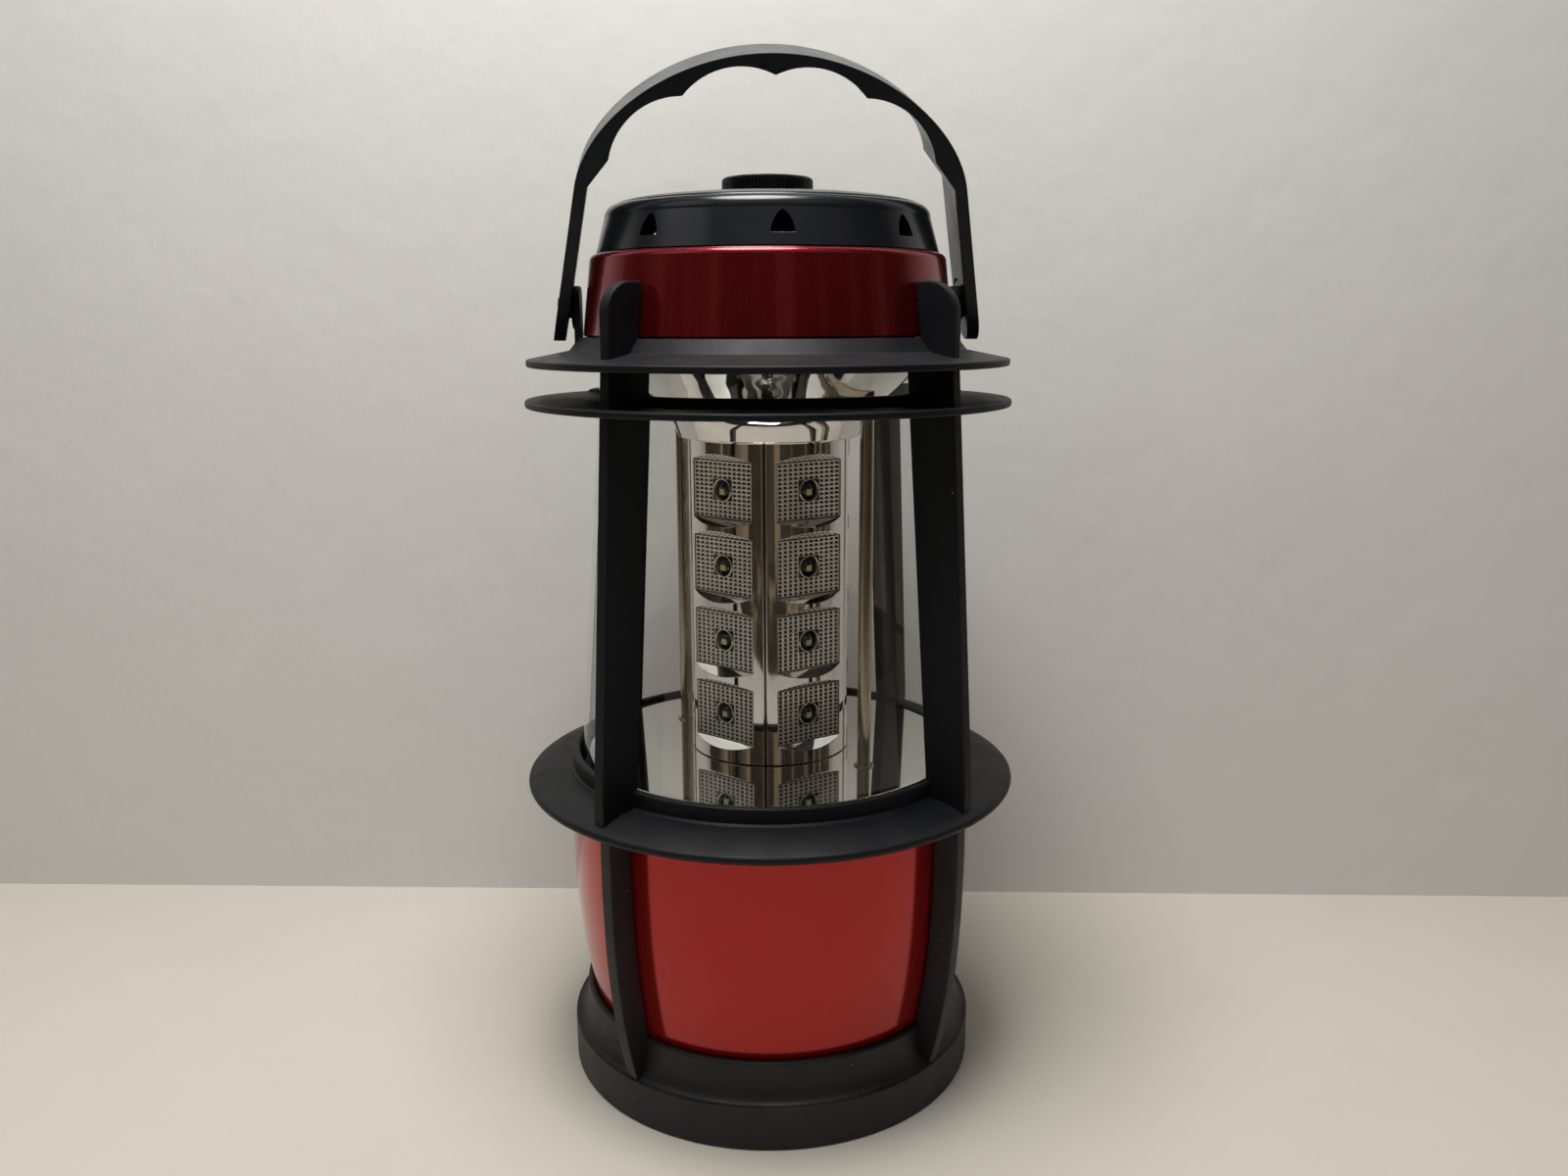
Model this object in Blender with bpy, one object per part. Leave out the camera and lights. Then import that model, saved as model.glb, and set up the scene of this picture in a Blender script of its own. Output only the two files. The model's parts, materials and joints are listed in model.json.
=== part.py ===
"""Battery camping lantern: barrel base, clear globe with a light tower, guard cage, dimmer and bail.

Metres, +Z up. The origin is the centre of the foot ring on the floor, -Y is the front,
and the bail turns about an axis along X. Each piece is one object, and each object is one closed solid.
"""

import math

import bmesh
import bpy
from mathutils import Matrix, Vector

# Clearances
SEAT_GAP = 0.0003
SLIDE_GAP = 0.0005

# Facets round circles and straight steps along curves
BIG_FACETS = 32
HIDDEN_FACETS = 24
MIDDLE_FACETS = 20
SMALL_FACETS = 8
NUT_SIDES = 6
WIRE_SIDES = 4
BARREL_STEPS = 5
ROUND_STEPS = 4
GENTLE_STEPS = 3
SMOOTH_ANGLE = math.radians(32)
SAME_POINT = 1e-6

# Dry cells and their cartridge
CELL_COUNT = 4
CELL_RADIUS = 0.0171
CELL_LENGTH = 0.0615
CELL_NUB_RADIUS = 0.0047
CELL_NUB_HEIGHT = 0.0015
CELL_WEB = 0.0013
HOLDER_WALL = 0.0020
HOLDER_FLOOR = 0.0015
CONTACT_THICKNESS = 0.0005
CONTACT_WIDTH = 0.0140
CONTACT_OVERHANG = 0.0060
CONTACT_BOARD_THICKNESS = 0.0016
SPRING_HEIGHT = 0.0060
SPRING_WIRE_RADIUS = 0.0005
SPRING_BASE_RADIUS = 0.0075
SPRING_TIP_RADIUS = 0.0050
SPRING_TURNS = 3.5
SPRING_STEPS = 8

# Battery cover with a bayonet
COVER_RECESS = 0.0010
COVER_THICKNESS = 0.0033
COVER_COLLAR_WALL = 0.0018
COVER_GRIP_LENGTH = 0.0420
COVER_GRIP_WIDTH = 0.0140
COVER_GRIP_DEPTH = 0.0019
COVER_GRIP_BAR = 0.0090
GASKET_THICKNESS = 0.0017
GASKET_WIDTH = 0.0026
LUG_COUNT = 3
LUG_REACH = 0.0024
LUG_WIDTH = 0.0100
LUG_THICKNESS = 0.0020
COVER_TWIST = math.radians(30)

# Red base shell
SHELL_LIP = 0.0024
SHELL_WALL = 0.0020
SHELL_STEP_WIDTH = 0.0034
SHELL_STEP_HEIGHT = 0.0050
BARREL_SWELL = 0.0065
BARREL_POWER = 2.8
BARREL_START = 0.0135
SHELL_LEDGE_WIDTH = 0.0045
SHELL_LEDGE_THICKNESS = 0.0025

# Lower guard: foot ring and ribs
FOOT_LIP_WALL = 0.0013
FOOT_LIP_HEIGHT = 0.0252
FOOT_STEP = 0.0047
FOOT_WALL_HEIGHT = 0.0134
FOOT_EDGE = 0.0008
FOOT_RING_WIDTH = 0.0066
FOOT_LEDGE_THICKNESS = 0.0030
FOOT_SCREW_COUNT = 3
RIB_COUNT = 4
RIB_THICKNESS = 0.0040
RIB_PROUD = 0.0087

# Screws
SCREW_HEAD_RADIUS = 0.0022
SCREW_HEAD_HEIGHT = 0.0014
SCREW_SHANK_RADIUS = 0.0011
SCREW_GRIP = 0.0050

# Deck, mirror and globe
DECK_SKIRT = 0.0148
DECK_FLANGE_THICKNESS = 0.0027
DECK_RISE = 0.0079
DECK_PLATE = 0.0023
DECK_RISER_WALL = 0.0022
DECK_FLANGE_WIDTH = 0.0037
SKIRT_WALL = 0.0030
GLOBE_SEAL_THICKNESS = 0.0017
GLOBE_SEAL_INSET = 0.0004
MIRROR_THICKNESS = 0.0012
GLOBE_HEIGHT = 0.1251
GLOBE_TAPER = 0.0094
GLOBE_WALL = 0.0015

# Upper guard: mid flange, posts, two brims, fins and ears
SHELL_SHOULDER = 0.0007
COLLAR_WALL = 0.0024
COLLAR_RISE = 0.0051
FLANGE_OVERHANG = 0.0130
FLANGE_RIM_THICKNESS = 0.0028
FLANGE_CROWN = 0.0029
POST_THICKNESS = 0.0038
POST_INSET = 0.0025
POST_TOP_PROUD = 0.0162
POST_GLOBE_GAP = 0.0012
BRIM_OVERHANG = 0.0215
BRIM_RIM_THICKNESS = 0.0020
BRIM_EDGE = 0.0005
BRIM_CONE_RISE = 0.0025
BRIM_CONE_FOOT = 0.0030
BRIM_THICKNESS = 0.0045
BRIM_COLLAR_WALL = 0.0021
LOWER_BRIM_DROP = 0.0116
LOWER_BRIM_EXTRA = 0.0008
LOWER_BRIM_COLLAR_WALL = 0.0022
LOWER_BRIM_COLLAR_RISE = 0.0026
FIN_HEIGHT = 0.0150
FIN_PROUD = 0.0115
FIN_CORNER = 0.0085
EAR_THICKNESS = 0.0017
EAR_WIDTH = 0.0150
EAR_HEIGHT = 0.0147
EAR_CORNER = 0.0040

# Light tower
TOWER_RADIUS = 0.0245
TOWER_COLUMNS = 5
TOWER_ROWS = 4
TOWER_TURN = math.radians(10)
TOWER_END_BAND = 0.0030
POCKET_DEPTH = 0.0029
POCKET_WEB = 0.0014
POCKET_SLOPE = 0.71
SEGMENT_BACK = 0.0027
SEGMENT_SIDE_GAP = math.radians(0.4)
LENS_PLATE = 0.0014
LED_RADIUS = 0.0025
LED_LENGTH = 0.0091
LED_PROUD = 0.0007
STRIP_THICKNESS = 0.0012
CORE_WALL = 0.0015

# Tie rods and the leads inside them
ROD_COUNT = 2
ROD_TURN = math.radians(-45)
ROD_RADIUS = 0.0020
ROD_BORE = 0.0013
ROD_OFFSET = 0.0123
ROD_END = 0.0060
NUT_RADIUS = 0.0040
NUT_HEIGHT = 0.0032
LEAD_RADIUS = 0.0007

# Top reflector bowl
BOWL_DEPTH = 0.0255
BOWL_WALL = 0.0012
BOWL_LIP = 0.0006
BOWL_FOOT_WIDTH = 0.0022
BOWL_FOOT_HEIGHT = 0.0036
BOWL_FOOT_FLARE = 0.0013
BOWL_RIM_HEIGHT = 0.0037
BOWL_CURVE = 0.8
BOWL_EYE = 0.0060

# Top housing (red band) and vent cap
HOUSING_FLOOR = 0.0020
HOUSING_SKIRT = 0.0038
HOUSING_SHOULDER = 0.0013
HOUSING_WALL = 0.0020
BAND_HEIGHT = 0.0232
BAND_TAPER = 0.0023
BAND_FILLET = 0.0021
CAP_SIDE_HEIGHT = 0.0096
CAP_SIDE_DRAFT = 0.0026
CAP_CORNER_WIDTH = 0.0031
CAP_CORNER_HEIGHT = 0.0036
CAP_CROWN = 0.0033
CAP_WALL = 0.0020
CAP_SPIGOT = 0.0030
VENT_COUNT = 8
VENT_WIDTH = 0.0064
VENT_HEIGHT = 0.0054
VENT_STRAIGHT = 0.0018
VENT_SILL = 0.0032

# Dimmer
BOARD_RADIUS = 0.0400
BOARD_THICKNESS = 0.0016
BOARD_DROP = 0.0061
BOARD_SCREW_COUNT = 3
BOARD_SCREW_INSET = 0.0060
BOARD_SCREW_TURN = math.radians(45)
BOSS_RADIUS = 0.0030
POT_RADIUS = 0.0080
POT_HEIGHT = 0.0065
POT_BUSH_WALL = 0.0012
POT_BUSH_HEIGHT = 0.0050
SHAFT_RADIUS = 0.0030
SHAFT_FOOT = 0.0050
KNOB_RADIUS = 0.0133
KNOB_HEIGHT = 0.0047
KNOB_CROWN = 0.0012
KNOB_ROOF = 0.0016
KNOB_STEM_WALL = 0.0013
KNURL_COUNT = 30
KNURL_DEPTH = 0.0005

# Bail handle
PIVOT_HEIGHT = 0.0085
PIVOT_PIN_RADIUS = 0.0030
PIVOT_BOSS_RADIUS = 0.0061
PIVOT_BOSS_LENGTH = 0.0008
BAIL_THICKNESS = 0.0036
BAIL_DEPTH = 0.0190
BAIL_SHOULDER = 0.0365
BAIL_RISE = 0.0716
BAIL_LEAN = math.radians(18)
ARM_LEAN_IN = math.radians(10.8)
SCALLOPS_PER_SIDE = 2
SCALLOP_RADIUS = 0.0206
SCALLOP_THIN = 0.0027
SCALLOP_DROP = 0.0013
SCALLOP_SPAN = math.radians(21.3)
SCALLOP_END = math.radians(11)

# Colours: red, green, blue
BLACK_PLASTIC = (0.012, 0.012, 0.014)
GLOSS_BLACK = (0.008, 0.008, 0.009)
RED_GLOSS = (0.420, 0.012, 0.016)
RED_METALLIC = (0.230, 0.004, 0.010)
CLEAR = (0.900, 0.920, 0.920)
CHROME = (0.800, 0.800, 0.790)
NICKEL = (0.550, 0.520, 0.470)
RUBBER = (0.030, 0.030, 0.030)
WHITE_PLASTIC = (0.700, 0.700, 0.680)
BOARD_GREEN = (0.030, 0.150, 0.060)
CELL_GREY = (0.250, 0.250, 0.260)
BRASS = (0.600, 0.450, 0.180)
COPPER_RED = (0.500, 0.050, 0.030)

# Roughness of the finishes
POLISHED = 0.06
GLOSSY = 0.2
SATIN = 0.3
MATT = 0.5
DULL = 0.8

# Heights that follow, from the floor upwards
cover_top = COVER_RECESS + COVER_THICKNESS
shell_bottom = cover_top + GASKET_THICKNESS + 2 * SEAT_GAP
lip_top = shell_bottom + SHELL_LIP
lug_bottom = lip_top + SEAT_GAP
lug_top = lug_bottom + LUG_THICKNESS
step_top = lip_top + SHELL_STEP_HEIGHT
holder_bottom = cover_top + SEAT_GAP
contact_bottom = holder_bottom + HOLDER_FLOOR + SEAT_GAP
contact_top = contact_bottom + CONTACT_THICKNESS
cell_floor = contact_top + SEAT_GAP
raised_cell_floor = cell_floor + SPRING_HEIGHT + SEAT_GAP
contact_board_bottom = raised_cell_floor + CELL_LENGTH + SEAT_GAP
holder_top = contact_board_bottom - SEAT_GAP
contact_board_top = contact_board_bottom + CONTACT_BOARD_THICKNESS
skirt_bottom = contact_board_top + SEAT_GAP
shell_top = skirt_bottom + DECK_SKIRT
guard_seat = shell_top + SEAT_GAP
deck_flange_top = guard_seat + DECK_FLANGE_THICKNESS
deck_top = guard_seat + DECK_RISE
deck_underside = deck_top - DECK_PLATE
mirror_bottom = deck_top + SEAT_GAP
mirror_top = mirror_bottom + MIRROR_THICKNESS
globe_seal_bottom = deck_flange_top + SEAT_GAP
globe_bottom = globe_seal_bottom + GLOBE_SEAL_THICKNESS + SEAT_GAP
globe_top = globe_bottom + GLOBE_HEIGHT
upper_seal_bottom = globe_top + SEAT_GAP
housing_bottom = upper_seal_bottom + GLOBE_SEAL_THICKNESS + SEAT_GAP
housing_floor_top = housing_bottom + HOUSING_FLOOR
band_bottom = housing_bottom + HOUSING_SKIRT
housing_top = band_bottom + BAND_HEIGHT
cap_bottom = housing_top + SEAT_GAP
cap_shoulder = cap_bottom + CAP_SIDE_HEIGHT
cap_crown_edge = cap_shoulder + CAP_CORNER_HEIGHT
cap_top = cap_crown_edge + CAP_CROWN
bowl_rim_top = housing_bottom - SEAT_GAP
bowl_foot = bowl_rim_top - BOWL_DEPTH
tower_bottom = mirror_top + SEAT_GAP
tower_top = bowl_foot - SEAT_GAP
row_pitch = (tower_top - tower_bottom - 2 * TOWER_END_BAND) / TOWER_ROWS
ledge_top = shell_bottom - SEAT_GAP
ledge_bottom = ledge_top - FOOT_LEDGE_THICKNESS
flange_rim_top = guard_seat + FLANGE_RIM_THICKNESS
flange_crown_top = flange_rim_top + FLANGE_CROWN
collar_top = flange_crown_top + COLLAR_RISE
brim_ledge_top = housing_bottom - SEAT_GAP
brim_bottom = brim_ledge_top - BRIM_THICKNESS
brim_collar_top = band_bottom - SEAT_GAP
lower_brim_bottom = brim_bottom - LOWER_BRIM_DROP
lower_brim_top = lower_brim_bottom + BRIM_RIM_THICKNESS
lower_brim_collar_top = lower_brim_top + LOWER_BRIM_COLLAR_RISE
fin_top = brim_collar_top + FIN_HEIGHT
pivot_z = brim_collar_top + PIVOT_HEIGHT
board_top = housing_top - BOARD_DROP
board_bottom = board_top - BOARD_THICKNESS
boss_top = board_bottom - SEAT_GAP
pot_bottom = board_top + SEAT_GAP
pot_top = pot_bottom + POT_HEIGHT
bush_top = pot_top + POT_BUSH_HEIGHT
knob_bottom = cap_top + SEAT_GAP
knob_top = knob_bottom + KNOB_HEIGHT
knob_bore_top = knob_top - KNOB_ROOF

# Radii that follow, from the dry cells outwards
cell_bore = CELL_RADIUS + SLIDE_GAP
cell_orbit = (cell_bore + CELL_WEB / 2) / math.sin(math.pi / CELL_COUNT)
holder_radius = cell_orbit + cell_bore + HOLDER_WALL
cover_collar_inner = holder_radius + SLIDE_GAP
cover_collar_radius = cover_collar_inner + COVER_COLLAR_WALL
shell_mouth = cover_collar_radius + SLIDE_GAP
cover_radius = shell_mouth + GASKET_WIDTH + SLIDE_GAP
lug_radius = shell_mouth + LUG_REACH
shell_step_radius = lug_radius + SLIDE_GAP
shell_inner_foot = shell_step_radius + SHELL_STEP_WIDTH
shell_foot_radius = shell_inner_foot + SHELL_WALL
shell_top_radius = shell_foot_radius + BARREL_SWELL
foot_ledge_radius = cover_radius + SLIDE_GAP
foot_screw_orbit = foot_ledge_radius + SCREW_HEAD_RADIUS + SEAT_GAP
rib_top_radius = shell_top_radius + RIB_PROUD
collar_radius = shell_top_radius - SHELL_SHOULDER
collar_inner = collar_radius - COLLAR_WALL
globe_radius = collar_inner - SLIDE_GAP
globe_top_radius = globe_radius - GLOBE_TAPER
deck_radius = collar_inner - SLIDE_GAP
deck_riser_radius = deck_radius - DECK_FLANGE_WIDTH
flange_radius = shell_top_radius + FLANGE_OVERHANG
post_foot_radius = flange_radius - POST_INSET
brim_inner = globe_top_radius + POST_GLOBE_GAP / 2
housing_skirt_radius = globe_top_radius + BRIM_COLLAR_WALL + POST_GLOBE_GAP
brim_collar_inner = housing_skirt_radius + SLIDE_GAP
brim_collar_radius = brim_collar_inner + BRIM_COLLAR_WALL
brim_cone_radius = brim_collar_radius + BRIM_CONE_FOOT
brim_radius = globe_top_radius + BRIM_OVERHANG
post_top_radius = globe_top_radius + POST_TOP_PROUD
lower_brim_radius = brim_radius + LOWER_BRIM_EXTRA
band_radius = housing_skirt_radius + HOUSING_SHOULDER
band_top_radius = band_radius - BAND_TAPER
fin_radius = band_radius + FIN_PROUD
cap_radius = band_top_radius - BAND_FILLET
spigot_radius = cap_radius - HOUSING_WALL - SLIDE_GAP
bowl_rim_radius = globe_top_radius - GLOBE_WALL - SLIDE_GAP
rod_orbit = TOWER_RADIUS + ROD_OFFSET
pane_plane = TOWER_RADIUS - POCKET_DEPTH
segment_back = pane_plane - SEGMENT_BACK
column_half_angle = math.pi / TOWER_COLUMNS
pocket_half_width = math.sqrt(TOWER_RADIUS**2 - pane_plane**2) - SEAT_GAP
pocket_run = POCKET_DEPTH * POCKET_SLOPE
pane_half_height = (row_pitch - POCKET_WEB) / 2 - pocket_run
strip_front = pane_plane + LED_PROUD - LED_LENGTH
strip_back = strip_front - STRIP_THICKNESS
core_apothem = strip_back - SEAT_GAP
board_screw_orbit = BOARD_RADIUS - BOARD_SCREW_INSET
shaft_bore = SHAFT_RADIUS + SEAT_GAP
bush_radius = shaft_bore + POT_BUSH_WALL
stem_radius = shaft_bore + KNOB_STEM_WALL
cap_eye = stem_radius + SEAT_GAP
ear_inner = band_radius + SLIDE_GAP
ear_outer = ear_inner + EAR_THICKNESS
boss_face = ear_outer + PIVOT_BOSS_LENGTH
arm_inner = boss_face + SLIDE_GAP
arm_outer = arm_inner + BAIL_THICKNESS


# Shape helpers


def clear_scene():
    for old in list(bpy.data.objects):
        bpy.data.objects.remove(old)


def paint(name, colour, roughness, metallic=0.0, transmission=0.0):
    """Make the Principled material of one kind of piece."""
    made = bpy.data.materials.new(name)
    made.use_nodes = True
    shader = made.node_tree.nodes["Principled BSDF"]
    shader.inputs["Base Color"].default_value = (*colour, 1.0)
    shader.inputs["Roughness"].default_value = roughness
    shader.inputs["Metallic"].default_value = metallic
    shader.inputs["Transmission Weight"].default_value = transmission
    made.diffuse_color = (*colour, 1.0)
    return made


def piece(bm, name, material=None):
    """Turn a bmesh into a named object with outward faces and smooth round stretches."""
    bmesh.ops.remove_doubles(bm, verts=bm.verts, dist=SAME_POINT)
    bmesh.ops.recalc_face_normals(bm, faces=bm.faces)
    mesh = bpy.data.meshes.new(name)
    bm.to_mesh(mesh)
    bm.free()
    made = bpy.data.objects.new(name, mesh)
    bpy.context.scene.collection.objects.link(made)
    if material:
        mesh.materials.append(material)
    smooth(made)
    return made


def smooth(thing):
    thing.data.shade_smooth()
    thing.data.set_sharp_from_angle(angle=SMOOTH_ANGLE)


def turned(outline, facets=BIG_FACETS):
    """Spin a closed outline of (radius, height) points once round Z."""
    bm = bmesh.new()
    points = [bm.verts.new((radius, 0, height)) for radius, height in outline]
    edges = []
    for first, second in zip(points, points[1:] + points[:1]):
        if first.co.x or second.co.x:
            edges.append(bm.edges.new((first, second)))
    bmesh.ops.spin(
        bm,
        geom=points + edges,
        axis=(0, 0, 1),
        cent=(0, 0, 0),
        angle=2 * math.pi,
        steps=facets,
        use_merge=True,
    )
    return bm


def prism(outline, low, high):
    """Extrude an (x, z) outline along Y from low to high."""
    bm = bmesh.new()
    face = bm.faces.new([bm.verts.new((x, low, z)) for x, z in outline])
    grown = bmesh.ops.extrude_face_region(bm, geom=[face])
    raised = [item for item in grown["geom"] if isinstance(item, bmesh.types.BMVert)]
    bmesh.ops.translate(bm, verts=raised, vec=(0, high - low, 0))
    return bm


def block(low, high):
    """Make a box from its lowest and highest corners."""
    outline = [(low[0], low[2]), (high[0], low[2]), (high[0], high[2]), (low[0], high[2])]
    return prism(outline, low[1], high[1])


def rod(radius, low, high, facets=MIDDLE_FACETS):
    return turned([(0, low), (radius, low), (radius, high), (0, high)], facets)


def moved(bm, matrix):
    bmesh.ops.transform(bm, matrix=matrix, verts=bm.verts)
    return bm


def about_z(angle):
    return Matrix.Rotation(angle, 4, "Z")


def at(x, y, z=0.0):
    return Matrix.Translation(Vector((x, y, z)))


# Turns Z to X, for what lies along the pivot or points out of the tower
LAID_ALONG_X = Matrix.Rotation(math.pi / 2, 4, "Y")

# Turns Y to Z, for what is extruded upwards
STOOD_UP = Matrix.Rotation(math.pi / 2, 4, "X")

# Turns a piece upside down
TURNED_OVER = Matrix.Rotation(math.pi, 4, "X")


def gathered(parts):
    """Put separate bodies into one bmesh."""
    whole = bmesh.new()
    for part in parts:
        scratch = bpy.data.meshes.new("scratch")
        part.to_mesh(scratch)
        part.free()
        whole.from_mesh(scratch)
        bpy.data.meshes.remove(scratch)
    return whole


def boolean(target, tool_bm, operation):
    """Join a shape to an object, or cut it away."""
    tool = piece(tool_bm, "tool")
    modifier = target.modifiers.new(operation, "BOOLEAN")
    modifier.operation = operation
    modifier.solver = "EXACT"
    modifier.object = tool
    depsgraph = bpy.context.evaluated_depsgraph_get()
    shaped = bpy.data.meshes.new_from_object(target.evaluated_get(depsgraph))
    target.modifiers.clear()
    target.data = shaped
    bpy.data.objects.remove(tool)
    smooth(target)


def join(target, *parts):
    for part in parts:
        boolean(target, part, "UNION")


def cut(target, *parts):
    for part in parts:
        boolean(target, part, "DIFFERENCE")


def round_the_axis(count, start=0.0):
    return [start + 2 * math.pi * index / count for index in range(count)]


def on_circle(orbit, angle):
    return at(orbit * math.cos(angle), orbit * math.sin(angle))


def arc(centre, radii, start, end, steps):
    """Points of an elliptic arc, from one angle to another."""
    angles = [start + (end - start) * step / steps for step in range(steps + 1)]
    return [(centre[0] + radii[0] * math.cos(a), centre[1] + radii[1] * math.sin(a)) for a in angles]


# Shapes that several pieces share


def barrel_radius(height):
    """Outer radius of the red shell: straight near the top, drawn in towards the foot."""
    start = shell_bottom + BARREL_START
    share = min(1.0, (shell_top - height) / (shell_top - start))
    return shell_top_radius - BARREL_SWELL * share**BARREL_POWER


def barrel_heights():
    start = shell_bottom + BARREL_START
    return [start + (shell_top - start) * step / BARREL_STEPS for step in range(BARREL_STEPS + 1)]


# Foot radii that follow from the barrel at the foot's lip
foot_pocket = barrel_radius(FOOT_LIP_HEIGHT) + SLIDE_GAP
foot_lip_radius = foot_pocket + FOOT_LIP_WALL
foot_radius = foot_lip_radius + FOOT_STEP


def globe_outer(height):
    return globe_radius - GLOBE_TAPER * (height - globe_bottom) / GLOBE_HEIGHT


def band_outer(height):
    return band_radius - BAND_TAPER * (height - band_bottom) / BAND_HEIGHT


def rod_angles():
    return round_the_axis(ROD_COUNT, ROD_TURN)


def rod_holes(low, high, radius=ROD_RADIUS + SEAT_GAP):
    """Cutters for what the tie rods pass through."""
    return [moved(rod(radius, low, high, SMALL_FACETS), on_circle(rod_orbit, angle))
            for angle in rod_angles()]


def screw_holes(low, high, orbit, angles):
    """Cutters for a ring of screws."""
    return [moved(rod(SCREW_SHANK_RADIUS + SEAT_GAP, low, high, SMALL_FACETS), on_circle(orbit, angle))
            for angle in angles]


def screw_shape(head_bottom):
    """A pan-head screw that points up, from the bottom of its head."""
    neck = head_bottom + SCREW_HEAD_HEIGHT
    tip = neck + SEAT_GAP + SCREW_GRIP
    outline = [
        (0, head_bottom),
        (SCREW_HEAD_RADIUS, head_bottom),
        (SCREW_HEAD_RADIUS, neck),
        (SCREW_SHANK_RADIUS, neck),
        (SCREW_SHANK_RADIUS, tip),
        (0, tip),
    ]
    return turned(outline, SMALL_FACETS)


# Lower guard and base


def foot_screw_angles():
    return round_the_axis(FOOT_SCREW_COUNT, math.pi / 2)


def lower_guard(black):
    stand = foot_radius - FOOT_RING_WIDTH
    slope = arc(
        (foot_radius - FOOT_EDGE, FOOT_LIP_HEIGHT - FOOT_LIP_WALL),
        (foot_radius - FOOT_EDGE - foot_lip_radius, FOOT_LIP_HEIGHT - FOOT_LIP_WALL - FOOT_WALL_HEIGHT),
        1.5 * math.pi, math.pi, GENTLE_STEPS,
    )
    outline = [
        (foot_ledge_radius, ledge_bottom),
        (stand, ledge_bottom),
        (stand, 0),
        (foot_radius - FOOT_EDGE, 0),
        (foot_radius, FOOT_EDGE),
        (foot_radius, FOOT_WALL_HEIGHT - FOOT_EDGE),
        *slope,
        (foot_lip_radius, FOOT_LIP_HEIGHT),
        (foot_pocket, FOOT_LIP_HEIGHT),
        (foot_pocket, ledge_top),
        (foot_ledge_radius, ledge_top),
    ]
    guard = piece(turned(outline), "lower_guard", black)
    join(guard, gathered([moved(rib(), about_z(angle)) for angle in rib_angles()]))
    cut(guard, gathered(screw_holes(0, ledge_top + SLIDE_GAP, foot_screw_orbit, foot_screw_angles())))


def rib_angles():
    return round_the_axis(RIB_COUNT, math.pi / RIB_COUNT)


def rib():
    """One lower rib: its inner edge follows the red barrel, its outer edge bows out above the foot."""
    rooted = FOOT_WALL_HEIGHT / 2
    rib_drop = rib_top_radius - (foot_radius - FOOT_EDGE)
    heights = [height for height in barrel_heights() if height > FOOT_LIP_HEIGHT]
    inner = [(barrel_radius(height) + SLIDE_GAP, height) for height in heights]
    outer = [(rib_top_radius, shell_top)]
    for height in reversed(barrel_heights()[:-1]):
        share = (shell_top - height) / (shell_top - FOOT_WALL_HEIGHT + FOOT_EDGE)
        outer.append((rib_top_radius - rib_drop * share**BARREL_POWER, height))
    outer.append((foot_radius - 2 * FOOT_EDGE, FOOT_WALL_HEIGHT - FOOT_EDGE))
    foot = [(foot_radius - 2 * FOOT_EDGE, rooted), (foot_lip_radius, rooted)]
    lip = [(foot_lip_radius - FOOT_LIP_WALL / 2, FOOT_LIP_HEIGHT - FOOT_EDGE)]
    return prism(inner + outer + foot + lip, -RIB_THICKNESS / 2, RIB_THICKNESS / 2)


def foot_screw(index, angle, steel):
    head_bottom = ledge_bottom - SEAT_GAP - SCREW_HEAD_HEIGHT
    piece(moved(screw_shape(head_bottom), on_circle(foot_screw_orbit, angle)), f"foot_screw_{index}", steel)


def base_shell(red):
    heights = barrel_heights()
    outer = [(barrel_radius(height), height) for height in heights]
    inner = [(barrel_radius(height) - SHELL_WALL, height) for height in heights[:-1]]
    ledge_radius = shell_top_radius - SHELL_WALL - SHELL_LEDGE_WIDTH
    outline = [
        (shell_mouth, shell_bottom),
        (shell_foot_radius, shell_bottom),
        *outer,
        (ledge_radius, shell_top),
        (ledge_radius, shell_top - SHELL_LEDGE_THICKNESS),
        (shell_top_radius - SHELL_WALL, shell_top - SHELL_LEDGE_THICKNESS - SHELL_LEDGE_WIDTH),
        *reversed(inner),
        (shell_inner_foot, step_top),
        (shell_step_radius, step_top),
        (shell_step_radius, lip_top),
        (shell_mouth, lip_top),
    ]
    shell = piece(turned(outline), "base_shell", red)
    half_slot = LUG_WIDTH / 2 + SLIDE_GAP
    slot_low = (shell_mouth - SHELL_WALL, -half_slot, shell_bottom - SHELL_LIP)
    slot_high = (shell_step_radius - SEAT_GAP, half_slot, lip_top + SHELL_LIP / 2)
    slot_angles = round_the_axis(LUG_COUNT, COVER_TWIST)
    cut(shell, gathered([moved(block(slot_low, slot_high), about_z(angle)) for angle in slot_angles]))
    pilot_top = ledge_bottom + SCREW_GRIP + SLIDE_GAP
    cut(shell, gathered(screw_holes(0, pilot_top, foot_screw_orbit, foot_screw_angles())))


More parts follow.
